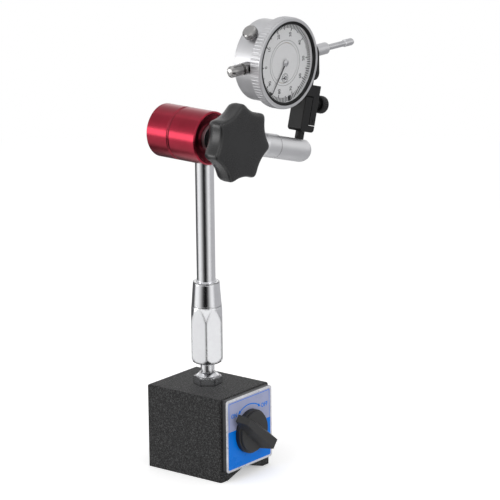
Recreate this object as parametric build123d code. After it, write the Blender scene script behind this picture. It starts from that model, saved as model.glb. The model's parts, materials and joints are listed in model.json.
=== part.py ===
from build123d import *
import os
from math import asin, cos, degrees, pi, radians, sin, sqrt

# Dial indicator on a jointed stand with a magnetic base, in millimetres.
# Origin at the centre of the base's underside, Z up, the base's label face towards -Y.

# Clearances
running_fit = 0.06
screw_clearance = 0.05
loose_gap = 0.3
edge_break = 0.4

# Magnetic base
base_length = 60.0
base_width = 50.0
base_height = 55.0
base_chamfer = 0.8
foot_width = 7.0
groove_depth = 5.0
spacer_thickness = 3.0
rotor_end_gap = 3.7
shaft_radius = 4.0
shaft_collar_radius = 7.0

# Round rear cover, and the magnet's bore behind it, between the groove and the top
rear_cover_sill = 2.5
rear_cover_top_wall = 3.5
rear_cover_lip = 6.0
rear_cover_thickness = 2.5
rear_cover_radius = (base_height - rear_cover_top_wall - rear_cover_sill - groove_depth) / 2
rear_cover_screw_orbit = rear_cover_radius - rear_cover_lip / 2
rear_cover_screw_count = 4
magnet_bore_radius = rear_cover_radius - rear_cover_lip
magnet_axis_height = groove_depth + rear_cover_sill + rear_cover_radius

# Front cover and label
cover_side_margin = 1.8
cover_top_margin = 0.7
cover_width = base_width - 2 * cover_side_margin
cover_bottom = 6.5
cover_top = base_height - cover_top_margin
cover_corner = 1.8
front_cover_thickness = 3.2
label_thickness = 0.5
cover_screw_radius = 1.5
cover_screw_length = 9.0
cover_screw_head_radius = 2.8
cover_screw_inset = 3.9
stop_pin_radius = 1.2
stop_pin_orbit = 9.0
stop_pin_height = 2.0

# Switch knob
switch_travel = 90.0
knob_back_gap = 0.15
knob_rim_radius = 14.2
knob_face_radius = 13.2
knob_rim_thickness = 3.4
knob_disc_thickness = 4.9
handle_height = 10.5
handle_slope = -38.5
handle_point = 21.3
handle_tail = 17.2
handle_base_half = 6.2
handle_ridge_half = 3.4
handle_point_half = 2.4

# Ball stud under the column
jam_nut_flats = 16.0
jam_nut_height = 5.7
jam_nut_cone_height = 2.3
jam_nut_bevel = 0.8
jam_nut_lip = 0.7
jam_nut_turn = 8.3
stud_shank_radius = 4.0
stud_shank_depth = 7.0
stud_neck_radius = 4.5
stud_ball_radius = 7.5
stud_ball_rise = 20.0
stud_ball_height = base_height + stud_ball_rise

# Hexagonal socket sleeve
sleeve_flats = 19.6
sleeve_corner_turn = 36.3
sleeve_below_ball = 5.4
sleeve_step_rise = 20.0
sleeve_ring_rise = 32.1
sleeve_top_rise = 48.0
sleeve_bottom = stud_ball_height - sleeve_below_ball
sleeve_step_height = stud_ball_height + sleeve_step_rise
sleeve_ring_height = stud_ball_height + sleeve_ring_rise
sleeve_top = stud_ball_height + sleeve_top_rise
sleeve_mouth_radius = 6.9
sleeve_lip_radius = 6.5
sleeve_lip_angle = 25.0
sleeve_top_radius = 8.5
sleeve_ring_radius = 9.66
sleeve_taper = 0.146
sleeve_rounding = 2.0
sleeve_groove = 0.3
sleeve_groove_width = 0.4
ball_seat_gap = 4.2
ball_seat_length = 10.3

# Column and arm tubes
tube_radius = 6.0
push_rod_radius = 3.0
rod_clearance = 0.1
tube_past_rod_end = 0.4

# Central clamp, along its own axis from the column's axis towards the knob
clamp_rise = 141.95
clamp_height = stud_ball_height + clamp_rise
clamp_yaw = 3.8
clamp_radius = 17.1
clamp_front_end = 7.3
clamp_split = -15.1
clamp_rear_end = -34.5
clamp_arm_offset = -24.8
clamp_split_gap = 0.1
clamp_chamfer = 0.8
clamp_lip_width = 1.1
clamp_recess_depth = 1.3
clamp_rear_wall = 2.8
groove_width = 0.5
groove_cut = 0.4
wedge_small_radius = 6.0
wedge_large_radius = 9.0
wedge_length = 10.0
wedge_start = 6.3
wedge_collar_end = 8.4
tie_bolt_radius = 4.0
tie_bolt_head_radius = 6.5
tie_bolt_head_height = 4.0
tie_bolt_end = 28.0
release_spring_radius = 5.3
release_spring_wire = 0.55
release_spring_turns = 3

# Star knob
star_point_count = 7
star_radius = 25.6
star_hollow_depth = 3.4
star_hollow_radius = 7.0
star_back = 20.0
star_back_radius = 18.5
star_rim_start = 28.0
star_front = 34.2
star_hub_radius = 8.5
star_point_rounding = 3.0
star_edge_rounding = 2.2
star_point_turn = -14.0
insert_radius = 6.0
insert_length = 20.0
insert_inset = 0.6

# Upper arm, along its own axis from the clamp's axis
arm_decline = 15.3
arm_tube_end = 93.0
socket_start = 79.0
socket_full = 85.0
socket_groove = 96.9
socket_groove_depth = 0.5
socket_groove_half = 0.4
socket_radius = 8.0
socket_start_radius = 6.6
head_ball_distance = 121.7
head_ball_radius = 5.0
head_stem_radius = 3.0
head_slot_half = 3.3
head_slot_start = 98.0
head_seat_gap = 4.4
head_seat_length = 11.0
socket_nose = 132.0

# Fine adjustment block, along its stem from the ball's centre
block_yaw = 2.2
block_half_width = 7.1
block_half_depth = 6.0
block_bottom = 12.5
block_bar_top = 17.0
block_limb_top = 35.5
block_limb_right = 0.0
block_corner_rounding = 2.4
block_edge_rounding = 0.8
knuckle_half = 2.0
cheek_gap = 0.1
pivot_pin_x = 3.0
pivot_pin_height = 20.0
pivot_pin_radius = 1.2
knuckle_radius = 2.2
lever_left = 0.7
lever_bottom = 17.3
bridge_bottom = 36.5
lever_top = 44.0
tongue_half = 2.1
tongue_x = -2.0
tongue_height = 52.0
tongue_radius = 4.75
swivel_screw_radius = 2.0
adjuster_axis_height = 32.0
adjuster_shank_radius = 1.75
adjuster_hole_radius = 2.2
adjuster_collar_radius = 3.5
adjuster_collar_length = 5.8
adjuster_head_radius = 5.75
adjuster_head_length = 6.0
adjuster_head_bevel = 0.5
counter_spring_radius = 1.9
counter_spring_height = 26.0
counter_spring_well = 2.4
counter_spring_wire = 0.3
counter_spring_turns = 2
stem_below_bar_top = 0.5
pin_inset = 0.3

# Stem holder, in the dial's frame
dial_tilt = 16.0
stem_radius = 4.0
holder_start = 30.5
holder_end = 40.0
holder_half_depth = 5.7
holder_top = 5.5
holder_pivot_drop = 13.2
swivel_head_radius = 4.0
swivel_head_height = 2.5

# Dial indicator, in the dial's frame: X along the spindle, Z out of the dial face
case_radius = 27.0
case_wall = 2.0
case_ledge = 1.5
case_back = -10.0
case_front = 8.0
back_cover_thickness = 1.5
back_screw_radius = 0.8
back_screw_orbit = 24.0
back_screw_count = 4
stem_end = 54.0
stem_seat_gap = 0.2
spindle_radius = 2.0
spindle_tail = -31.0
spindle_end = 76.0
contact_radius = 2.5
contact_start = 72.5
contact_end = 81.9
contact_rounding = 1.6
cap_radius = 3.8
cap_end = -44.6
cap_collar_radius = 4.2
cap_collar_end = -32.4
cap_groove_radius = 2.9
cap_groove_end = -34.4
cap_bore_radius = 2.4
cap_bore_end = -42.4

# Movement
rack_pitch = 0.625
rack_root = -1.5
rack_lead_count = 4
rack_tail_count = 20
rack_pinion_teeth = 16
wheel_teeth = 100
centre_pinion_teeth = 10
wheel_centre_distance = 10.0
arbor_radius = 0.5
rear_plate_bottom = 2.6
rear_plate_top = 3.2
front_plate_bottom = 6.8
front_plate_top = 7.6
plate_radius = 23.8
pillar_radius = 1.2
pillar_orbit = 21.0
pillar_turn = 100.0
dial_foot_turn = 120.0
rack_wheel_level = 3.6
return_wheel_level = 4.9
wheel_thickness = 0.6
hairspring_level = 5.9
hairspring_thickness = 0.4
hairspring_inner = 1.2
hairspring_pitch = 0.8
hairspring_turn_count = 3
hairspring_step_count = 10
hairspring_strip = 0.15

# Dial faces, bezel and pointers
bezel_radius = 30.0
bezel_back = 4.6
bezel_front = 12.8
bezel_clearance = 0.08
bezel_rim_radius = 27.7
bezel_bevel = 0.5
bezel_ledge_radius = 26.0
bezel_ledge_bottom = 8.3
bezel_ledge_top = 8.9
insert_inner_radius = 26.2
insert_lip_radius = 25.6
dial_ring_inner = 13.4
dial_ring_thickness = 0.4
dial_centre_radius = 13.1
dial_centre_bottom = 8.7
crystal_bottom = 11.0
crystal_thickness = 1.1
crystal_radius = 26.15
small_pointer_level = 9.55
small_pointer_length = 4.2
main_pointer_level = 10.05
main_pointer_length = 23.4
main_pointer_angle = 233.3
pointer_thickness = 0.25
marker_level = 9.5
marker_thickness = 0.35
marker_angles = (229.7, 279.3)
marker_inner = 22.6
marker_width = 2.0

# Bezel clamp screw
clamp_screw_angle = 134.0
clamp_screw_level = -1.6
clamp_screw_head_radius = 4.8
clamp_screw_head_start = 28.8
clamp_screw_head_end = 33.6
clamp_screw_radius = 1.5
clamp_boss_radius = 3.2
clamp_boss_end = 28.4


def bar(radius, start, end, at=(0, 0)):
    """Round bar along Z between two heights."""
    blank = Cylinder(radius, end - start, align=(Align.CENTER, Align.CENTER, Align.MIN))
    return Pos(at[0], at[1], start) * blank


def bar_along_x(radius, start, end, at=(0, 0)):
    """Round bar along X; at gives Y and Z."""
    return Plane.YZ.location * bar(radius, start, end, at)


def bar_along_y(radius, start, end, at=(0, 0)):
    """Round bar along Y; at gives X and Z."""
    return Plane.XZ.location * bar(radius, -end, -start, at)


def block(x, y, z):
    """Rectangular block between pairs of limits."""
    blank = Box(x[1] - x[0], y[1] - y[0], z[1] - z[0], align=(Align.MIN, Align.MIN, Align.MIN))
    return Pos(x[0], y[0], z[0]) * blank


def turned(*outline):
    """Solid turned about Z from points given as radius and height."""
    return revolve(Plane.XZ * make_face(Polyline(*outline, close=True)), Axis.Z)


def prism(points, start, end):
    """Straight prism on a polygon, between two heights."""
    return Pos(0, 0, start) * extrude(make_face(Polyline(*points, close=True)), end - start)


def hexagon(flats, start, end, turn):
    """Hexagonal bar along Z with a corner at the angle turn."""
    outline = RegularPolygon(flats / 2, 6, major_radius=False)
    return Pos(0, 0, start) * extrude(Rot(0, 0, turn) * outline, end - start)


def around(count, orbit, start=0.0):
    """Evenly spaced points on a circle, in the XY plane."""
    turns = [radians(start + 360.0 * n / count) for n in range(count)]
    return [(orbit * cos(turn), orbit * sin(turn)) for turn in turns]


def along_x(solid):
    """Solid turned about Z, laid along X."""
    return Plane.YZ.location * solid


def direction(frame, x=0.0, y=0.0, z=0.0):
    """Vector in the object's frame from components in another frame."""
    return frame.x_dir * x + frame.y_dir * y + frame.z_dir * z


def meshed_phase(teeth, phase, toward, other_teeth):
    """Phase of a second gear whose centre lies in a direction from the first, so that teeth meet gaps."""
    step = 360 / teeth
    offset = (phase - toward + step / 2) % step - step / 2
    return toward + 180 - offset * teeth / other_teeth + 180 / other_teeth


def gear(teeth, pitch_radius, start, thickness, phase=0.0, at=(0, 0), pointed=False):
    """Spur gear with blunt or pointed straight-sided teeth; phase turns a tooth to that angle."""
    module = 2 * pitch_radius / teeth
    tip = pitch_radius + 0.75 * module
    root = pitch_radius - 1.1 * module
    step = 2 * pi / teeth
    flanks = ((root, -0.3), (tip, -0.06), (tip, 0.06), (root, 0.3))
    if pointed:
        flanks = ((root, -0.5), (tip, 0))
    points = []
    for n in range(teeth):
        middle = radians(phase) + n * step
        for radius, share in flanks:
            turn = middle + share * step
            points.append((at[0] + radius * cos(turn), at[1] + radius * sin(turn)))
    return prism(points, start, start + thickness)


def ball_bore(radius, start):
    """Bore along Z with a drilled 90 degree end that touches a ball of that radius centred on the origin."""
    return turned((0, start), (radius, start), (radius, radius * (sqrt(2) - 1)), (0, radius * sqrt(2)))


# Frames of the jointed pieces
clamp_axis = Vector(-sin(radians(clamp_yaw)), -cos(radians(clamp_yaw)), 0)
clamp_side = Vector(cos(radians(clamp_yaw)), -sin(radians(clamp_yaw)), 0)
clamp_frame = Plane(origin=(0, 0, clamp_height), x_dir=clamp_side, z_dir=clamp_axis)
arm_axis = direction(clamp_frame, cos(radians(arm_decline)), -sin(radians(arm_decline)))
arm_origin = clamp_frame.origin + clamp_axis * clamp_arm_offset
arm_frame = Plane(origin=arm_origin, x_dir=clamp_axis * -1, z_dir=arm_axis)
stem_axis = arm_frame.y_dir
head_origin = arm_origin + arm_axis * head_ball_distance
block_face = Vector(-sin(radians(block_yaw)), -cos(radians(block_yaw)), 0)
block_side = (block_face * -1).cross(stem_axis).normalized()
head_frame = Plane(origin=head_origin, x_dir=block_side, z_dir=stem_axis)
face_axis = head_frame.y_dir * -1
spindle_axis = direction(head_frame, cos(radians(dial_tilt)), 0, sin(radians(dial_tilt)))
dial_up = face_axis.cross(spindle_axis)
holder_middle = (holder_start + holder_end) / 2
swivel_point = head_origin + direction(head_frame, tongue_x, 0, tongue_height)
dial_origin = swivel_point - spindle_axis * holder_middle + dial_up * holder_pivot_drop
dial_frame = Plane(origin=dial_origin, x_dir=spindle_axis, z_dir=face_axis)
knob_frame_origin = (0, -base_length / 2 - front_cover_thickness - label_thickness, magnet_axis_height)
knob_frame = Plane(origin=knob_frame_origin, x_dir=(1, 0, 0), z_dir=(0, -1, 0))

pieces = {}


def add(frame, **solids):
    """Places pieces, modelled in a frame of their own, in the object's frame."""
    for name, solid in solids.items():
        pieces[name] = frame.location * solid


def base_body():
    """Whole rectangular body, grooved underneath, before it is split into poles and strips."""
    half = base_width / 2
    edge = half - foot_width
    slope_end = spacer_thickness / 2
    outline = [
        (-slope_end, groove_depth), (-edge, 0), (-half, 0), (-half, base_height),
        (half, base_height), (half, 0), (edge, 0), (slope_end, groove_depth),
    ]
    body = extrude(Plane.XZ * make_face(Polyline(*outline, close=True)), base_length / 2, both=True)
    top_or_end = [face for face in body.faces() if face.normal_at().Z > 0.9 or abs(face.normal_at().Y) > 0.9]
    ends = [edge for face in top_or_end for edge in face.edges() if edge.center().Z > groove_depth]
    body = chamfer(ShapeList(set(ends)), base_chamfer)
    body -= bar_along_y(magnet_bore_radius, -base_length, base_length, (0, magnet_axis_height))
    body -= bar(stud_shank_radius + running_fit, base_height - stud_shank_depth - loose_gap, base_height + 1)
    rear = base_length / 2
    recess = rear - rear_cover_thickness
    body -= bar_along_y(rear_cover_radius + screw_clearance, recess, rear + 1, (0, magnet_axis_height))
    hole = cover_screw_radius + screw_clearance
    depth = cover_screw_length + 1
    for x, y in front_screw_points():
        body -= bar_along_y(hole, -rear - 1, depth - rear, (x, y + magnet_axis_height))
    for x, y in rear_screw_points():
        body -= bar_along_y(hole, rear - depth, rear + 1, (-x, y + magnet_axis_height))
    return body


def rear_screw_points():
    """Places of the rear cover's screws about the magnet's axis, seen from behind."""
    return around(rear_cover_screw_count, rear_cover_screw_orbit, 45)


def front_screw_points():
    """Places of the screws at the corners of the front cover, about the magnet's axis."""
    x = cover_width / 2 - cover_screw_inset
    low = cover_bottom + cover_screw_inset - magnet_axis_height
    high = cover_top - cover_screw_inset - magnet_axis_height
    return [(-x, low), (x, low), (-x, high), (x, high)]


def cover_outline(thickness):
    """Rounded rectangular plate of a cover, from Z = 0, centred on the magnet's axis."""
    height = cover_top - cover_bottom
    middle = (cover_top + cover_bottom) / 2 - magnet_axis_height
    return extrude(Pos(0, middle) * RectangleRounded(cover_width, height, cover_corner), thickness)


def cover_screw(head_level):
    """Countersunk screw pointing down Z, its head flush with a level."""
    head = cover_screw_head_radius - cover_screw_radius
    return turned(
        (0, head_level), (cover_screw_head_radius, head_level),
        (cover_screw_radius, head_level - head), (cover_screw_radius, head_level - cover_screw_length),
        (0, head_level - cover_screw_length),
    )


def countersunk(plate, thickness, places):
    """Plate with countersunk holes, its outer face at Z = thickness."""
    head = cover_screw_head_radius + screw_clearance
    shank = cover_screw_radius + screw_clearance
    for place in places:
        sink = turned(
            (0, thickness), (head, thickness), (shank, thickness - head + shank),
            (shank, -1), (0, -1),
        )
        plate -= Pos(*place) * sink
    return plate


def magnetic_base():
    body = base_body()
    side = base_width
    strip = spacer_thickness / 2
    top = base_height + 1
    add(
        Plane.XY,
        left_pole=body & block((-side, -strip), (-side, side), (-1, top)),
        right_pole=body & block((strip, side), (-side, side), (-1, top)),
        upper_spacer=body & block((-strip, strip), (-side, side), (magnet_axis_height, top)),
        lower_spacer=body & block((-strip, strip), (-side, side), (0, magnet_axis_height)),
    )
    front_frame = Plane(
        origin=(0, -base_length / 2, magnet_axis_height), x_dir=(1, 0, 0), z_dir=(0, -1, 0)
    )
    rear_frame = Plane(
        origin=(0, base_length / 2 - rear_cover_thickness, magnet_axis_height), x_dir=(-1, 0, 0),
        z_dir=(0, 1, 0),
    )
    shaft_hole = bar(shaft_radius + running_fit, -1, front_cover_thickness + label_thickness + 1)
    pin_top = front_cover_thickness + label_thickness + stop_pin_height
    pin = bar(stop_pin_radius, front_cover_thickness / 2, pin_top, (-stop_pin_orbit, 0))
    label = Pos(0, 0, front_cover_thickness) * cover_outline(label_thickness)
    label -= bar(stop_pin_radius + screw_clearance, 0, pin_top, (-stop_pin_orbit, 0))
    front_cover = cover_outline(front_cover_thickness)
    front_cover = countersunk(front_cover, front_cover_thickness, front_screw_points()) + pin
    rear_cover = bar(rear_cover_radius, 0, rear_cover_thickness)
    rear_cover = countersunk(rear_cover, rear_cover_thickness, rear_screw_points())
    rear_cover -= bar(shaft_radius + running_fit, -1, rear_cover_thickness / 2)
    add(front_frame, front_cover=front_cover - shaft_hole, label_plate=label - shaft_hole)
    add(rear_frame, rear_cover=rear_cover)
    screws = []
    for place in front_screw_points():
        screws.append(front_frame.location * Pos(*place) * cover_screw(front_cover_thickness))
    for place in rear_screw_points():
        screws.append(rear_frame.location * Pos(*place) * cover_screw(rear_cover_thickness))
    pieces["cover_screws"] = screws
    nut_top = base_height + jam_nut_height
    nut = hexagon(jam_nut_flats, base_height, nut_top, jam_nut_turn)
    corner = jam_nut_flats / sqrt(3)
    nut &= turned(
        (0, base_height), (corner, base_height), (corner, nut_top - jam_nut_bevel),
        (jam_nut_flats / 2, nut_top), (0, nut_top),
    )
    cone_top = nut_top + jam_nut_cone_height
    cone = turned(
        (0, nut_top), (jam_nut_flats / 2 - edge_break, nut_top), (stud_neck_radius + jam_nut_lip, cone_top),
        (0, cone_top),
    )
    hole = bar(stud_shank_radius + running_fit, base_height - 1, cone_top + 1)
    add(Plane.XY, jam_nut=nut + cone - hole)


def switch():
    front_wall = -base_length / 2
    rear_wall = base_length / 2 - rear_cover_thickness
    rotor_front = front_wall + rotor_end_gap
    rotor_rear = rear_wall - rotor_end_gap
    rotor_radius = magnet_bore_radius - loose_gap
    rotor = bar_along_y(rotor_radius, rotor_front, rotor_rear, (0, magnet_axis_height))
    rotor -= bar_along_y(shaft_radius, front_wall, rear_wall, (0, magnet_axis_height))
    knob_depth = front_cover_thickness + label_thickness + knob_rim_thickness
    shaft_rear = rear_wall + rear_cover_thickness / 2 - loose_gap
    shaft = bar_along_y(shaft_radius, front_wall - knob_depth, shaft_rear, (0, magnet_axis_height))
    for near, far in ((front_wall + loose_gap, rotor_front), (rotor_rear, rear_wall - loose_gap)):
        shaft += bar_along_y(shaft_collar_radius, near, far, (0, magnet_axis_height))
    add(Plane.XY, magnet_rotor=rotor, rotor_shaft=shaft)
    back = knob_back_gap
    knob = turned(
        (0, back), (knob_rim_radius, back), (knob_rim_radius, knob_rim_thickness - edge_break),
        (knob_rim_radius - edge_break, knob_rim_thickness), (knob_face_radius, knob_rim_thickness),
        (knob_face_radius, knob_disc_thickness - edge_break),
        (knob_face_radius - edge_break, knob_disc_thickness), (0, knob_disc_thickness),
    )
    low = knob_rim_thickness
    waist = -0.3 * handle_point
    foot = 0.75 * handle_tail
    base = [
        (-handle_point, -handle_point_half), (waist, -handle_base_half), (foot, -handle_base_half),
        (foot, handle_base_half), (waist, handle_base_half), (-handle_point, handle_point_half),
    ]
    ridge_start = -0.82 * handle_point
    narrow = 0.62 * handle_ridge_half
    ridge = [
        (ridge_start, -narrow), (waist, -0.74 * handle_ridge_half), (handle_tail, -handle_ridge_half),
        (handle_tail, handle_ridge_half), (waist, 0.74 * handle_ridge_half), (ridge_start, narrow),
    ]
    handle = loft([
        Pos(0, 0, low) * make_face(Polyline(*base, close=True)),
        Pos(0, 0, handle_height) * make_face(Polyline(*ridge, close=True)),
    ], ruled=True)
    knob += Rot(0, 0, handle_slope) * handle
    knob -= bar(shaft_radius, back - 1, knob_rim_thickness)
    slot_half = stop_pin_radius + loose_gap
    slot = bar(stop_pin_orbit + slot_half, back - 1, stop_pin_height + loose_gap)
    slot -= bar(stop_pin_orbit - slot_half, back - 1, stop_pin_height + loose_gap)
    sector = block((0, 2 * knob_rim_radius), (0, 2 * knob_rim_radius), (back - 1, knob_rim_thickness))
    slot &= Rot(0, 0, 180) * sector
    for turn in (180, 180 + switch_travel):
        x, y = stop_pin_orbit * cos(radians(turn)), stop_pin_orbit * sin(radians(turn))
        slot += bar(slot_half, back - 1, stop_pin_height + loose_gap, (x, y))
    add(knob_frame, switch_knob=knob - slot)


def lower_arm():
    ball = stud_ball_height
    stud = bar(stud_shank_radius, base_height - stud_shank_depth, ball - stud_ball_radius)
    neck_start = base_height + jam_nut_height + jam_nut_cone_height + running_fit
    stud += bar(stud_neck_radius, neck_start, ball)
    stud += Pos(0, 0, ball) * Sphere(stud_ball_radius)
    add(Plane.XY, ball_stud=stud)

    cavity = stud_ball_radius + running_fit
    lip_angle = radians(sleeve_lip_angle)
    lip_start = ball - cavity * (1 - cos(lip_angle)) / sin(lip_angle)
    lip_end = ball - (cavity - sleeve_lip_radius * cos(lip_angle)) / sin(lip_angle)
    lower_radius = sleeve_ring_radius + sleeve_taper * (sleeve_ring_height - sleeve_bottom)
    corner = sleeve_flats / sqrt(3)
    rounding = sleeve_rounding
    sleeve = turned(
        (0, sleeve_bottom), (sleeve_flats / 2 - rounding * 0.6, sleeve_bottom),
        (sleeve_flats / 2 + 0.2, sleeve_bottom + rounding * 0.5), (corner, sleeve_bottom + 2.0 * rounding),
        (max(corner, lower_radius), sleeve_bottom + 2.2 * rounding),
        (lower_radius, sleeve_bottom + 2.4 * rounding),
        (sleeve_ring_radius, sleeve_ring_height), (sleeve_ring_radius - sleeve_groove, sleeve_ring_height),
        (sleeve_ring_radius - sleeve_groove, sleeve_ring_height + sleeve_groove_width),
        (sleeve_ring_radius, sleeve_ring_height + sleeve_groove_width),
        (sleeve_top_radius, sleeve_top), (0, sleeve_top),
    )
    sleeve &= hexagon(sleeve_flats, sleeve_bottom - 1, sleeve_top + 1, sleeve_corner_turn)
    sleeve -= bar(tube_radius + screw_clearance, sleeve_step_height, sleeve_top + 1)
    sleeve -= turned(
        (0, sleeve_bottom - 1), (sleeve_mouth_radius, sleeve_bottom - 1),
        (sleeve_mouth_radius, sleeve_bottom), (sleeve_lip_radius, lip_end), (cavity, lip_start),
        (cavity, sleeve_step_height + 1), (0, sleeve_step_height + 1),
    )
    seat_bottom = ball + ball_seat_gap
    seat_top = seat_bottom + ball_seat_length
    seat = bar(cavity - screw_clearance, seat_bottom, seat_top)
    seat -= Pos(0, 0, ball) * ball_bore(cavity, -1)
    seat -= bar(push_rod_radius / 2, ball, seat_top + 1)
    column_top = clamp_height - rod_seat_distance() + tube_past_rod_end
    column = bar(tube_radius, sleeve_step_height, column_top)
    column -= bar(push_rod_radius + rod_clearance, sleeve_step_height - 1, column_top + 1)
    rod = push_rod(seat_top, clamp_height - rod_seat_distance())
    add(Plane.XY, socket_sleeve=sleeve, lower_ball_seat=seat, column_tube=column, lower_push_rod=rod)


def rod_seat_distance():
    """From the clamp's axis to the centre of a push rod's round end, which rests on a wedge's cone."""
    taper = (wedge_large_radius - wedge_small_radius) / wedge_length
    cone_radius = wedge_small_radius + taper * wedge_start
    return cone_radius + (push_rod_radius + screw_clearance) * sqrt(1 + taper**2)


def push_rod(start, round_centre):
    """Rod along Z with a round end."""
    return bar(push_rod_radius, start, round_centre) + Pos(0, 0, round_centre) * Sphere(push_rod_radius)


def helix_spring(radius, wire, start, end, turns):
    """Coil spring along Z made of a square wire, between two levels."""
    height = end - start - 2 * wire
    path = Helix(pitch=height / turns, height=height, radius=radius)
    profile = Plane(origin=path @ 0, x_dir=(1, 0, 0), z_dir=path % 0) * Rectangle(2 * wire, 2 * wire)
    return Pos(0, 0, start + wire) * sweep(profile, path=path, is_frenet=True)


def clamp():
    recess = clamp_front_end - clamp_recess_depth
    face = clamp_split + clamp_split_gap / 2
    edge = groove_cut
    lip = clamp_radius - clamp_chamfer - clamp_lip_width
    front = turned(
        (0, face), (clamp_radius - edge, face), (clamp_radius, face + edge),
        (clamp_radius, clamp_front_end - clamp_chamfer), (clamp_radius - clamp_chamfer, clamp_front_end),
        (lip, clamp_front_end), (lip, recess), (0, recess),
    )
    cavity = wedge_large_radius + rod_clearance
    spring_bore = release_spring_radius + release_spring_wire + loose_gap
    bore_distance = rod_seat_distance() - tube_past_rod_end
    front -= bar(cavity, -wedge_start - loose_gap, recess + 1)
    front -= bar(spring_bore, clamp_split - 1, 0)
    down = Plane(origin=(0, 0, 0), x_dir=(1, 0, 0), z_dir=(0, -1, 0))
    front -= down.location * bar(tube_radius + screw_clearance, bore_distance, 2 * clamp_radius)
    front -= down.location * bar(push_rod_radius + rod_clearance, 0, bore_distance + 1)

    split = clamp_split - clamp_split_gap / 2
    groove = split - edge - groove_width
    rear_cavity_end = clamp_rear_end + clamp_rear_wall
    rear = turned(
        (0, clamp_rear_end), (clamp_radius - clamp_chamfer, clamp_rear_end),
        (clamp_radius, clamp_rear_end + clamp_chamfer), (clamp_radius, groove - groove_width - edge),
        (clamp_radius - groove_cut, groove - groove_width), (clamp_radius - groove_cut, groove),
        (clamp_radius, groove + edge), (clamp_radius, split - edge), (clamp_radius - edge, split), (0, split),
    )
    rear -= bar(cavity, rear_cavity_end, clamp_split + 1)
    arm = Plane(
        origin=(0, 0, clamp_arm_offset), x_dir=(0, 0, -1),
        z_dir=(cos(radians(arm_decline)), -sin(radians(arm_decline)), 0),
    )
    rear -= arm.location * bar(tube_radius + screw_clearance, bore_distance, 2 * clamp_radius)
    rear -= arm.location * bar(push_rod_radius + rod_clearance, 0, bore_distance + 1)

    bolt_hole = tie_bolt_radius + screw_clearance
    cone_end = wedge_length - wedge_start
    front_wedge = turned(
        (bolt_hole, -wedge_start), (wedge_small_radius, -wedge_start), (wedge_large_radius, cone_end),
        (wedge_large_radius, wedge_collar_end), (bolt_hole, wedge_collar_end),
    )
    cone_start = clamp_arm_offset + wedge_start
    wedge_back = rear_cavity_end + 0.2
    sink = wedge_back + tie_bolt_head_height
    head_hole = tie_bolt_head_radius + screw_clearance
    rear_wedge = turned(
        (bolt_hole, cone_start), (wedge_small_radius, cone_start),
        (wedge_large_radius, cone_start - wedge_length), (wedge_large_radius, wedge_back),
        (head_hole, wedge_back), (head_hole, sink), (bolt_hole, sink),
    )
    bolt = bar(tie_bolt_radius, wedge_back, tie_bolt_end)
    bolt += bar(tie_bolt_head_radius, wedge_back + 0.05, sink)
    spring = helix_spring(
        release_spring_radius, release_spring_wire, cone_start, -wedge_start, release_spring_turns
    )
    add(
        clamp_frame, clamp_front=front, clamp_rear=rear, front_wedge=front_wedge, rear_wedge=rear_wedge,
        tie_bolt=bolt, release_spring=spring,
    )


def star_knob():
    outline = Circle(star_radius)
    hollow_centre = star_radius - star_hollow_depth + star_hollow_radius
    step = 360 / star_point_count
    for place in around(star_point_count, hollow_centre, star_point_turn + step / 2):
        outline -= Pos(*place) * Circle(star_hollow_radius)
    outline = fillet(outline.vertices(), star_point_rounding)
    head = Pos(0, 0, star_back) * extrude(outline, star_front - star_back)
    rims = [e for e in head.edges() if abs(e.center().Z - star_front) < 0.01]
    head = fillet(ShapeList(rims), star_edge_rounding)
    head &= turned(
        (0, star_back), (star_back_radius, star_back), (star_radius + 0.5, star_rim_start),
        (star_radius + 0.5, star_front), (0, star_front),
    )
    hub_start = wedge_collar_end + 0.1
    knob = head + bar(star_hub_radius, hub_start, star_back + 1)
    insert_start = hub_start + insert_inset
    insert_end = insert_start + insert_length
    knob -= bar(tie_bolt_radius + running_fit, hub_start - 1, insert_start + 1)
    knob -= bar(insert_radius, insert_start, insert_end)
    insert = bar(insert_radius, insert_start, insert_end)
    insert -= bar(tie_bolt_radius + running_fit, hub_start, insert_end - 1)
    add(clamp_frame, star_knob=knob, knob_insert=insert)


def upper_arm():
    rod_seat = rod_seat_distance()
    tube = bar(tube_radius, rod_seat - tube_past_rod_end, arm_tube_end)
    tube -= bar(push_rod_radius + rod_clearance, 0, arm_tube_end + 1)
    ball = head_ball_distance
    seat_end = ball - head_seat_gap
    seat_start = seat_end - head_seat_length
    flipped = Plane(origin=(0, 0, rod_seat + seat_start), x_dir=(1, 0, 0), z_dir=(0, 0, -1))
    rod = flipped.location * push_rod(rod_seat, seat_start)
    cavity = head_ball_radius + running_fit
    nose = socket_nose
    socket = turned(
        (0, socket_start), (socket_start_radius, socket_start), (socket_radius, socket_full),
        (socket_radius, socket_groove - socket_groove_half),
        (socket_radius - socket_groove_depth, socket_groove),
        (socket_radius, socket_groove + socket_groove_half), (socket_radius, nose - socket_radius),
        (0, nose - socket_radius),
    )
    wide = (-2 * socket_radius, 2 * socket_radius)
    dome = Sphere(socket_radius) & block(wide, wide, (0, socket_radius + 1))
    socket += Pos(0, 0, nose - socket_radius) * dome
    socket -= bar(tube_radius + screw_clearance, socket_start - 1, arm_tube_end)
    socket -= Pos(0, 0, ball) * ball_bore(cavity, arm_tube_end - 1 - ball)
    slot = block((-head_slot_half, head_slot_half), (0, 2 * socket_radius), (head_slot_start, nose + 1))
    slot += bar(head_slot_half, ball, nose + 1)
    seat = bar(head_ball_radius, seat_start, seat_end)
    seat -= Pos(0, 0, ball) * Rot(180, 0, 0) * ball_bore(cavity, -1)
    add(
        arm_frame, upper_arm_tube=tube, upper_push_rod=rod, slotted_socket=socket - slot,
        upper_ball_seat=seat,
    )


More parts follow.
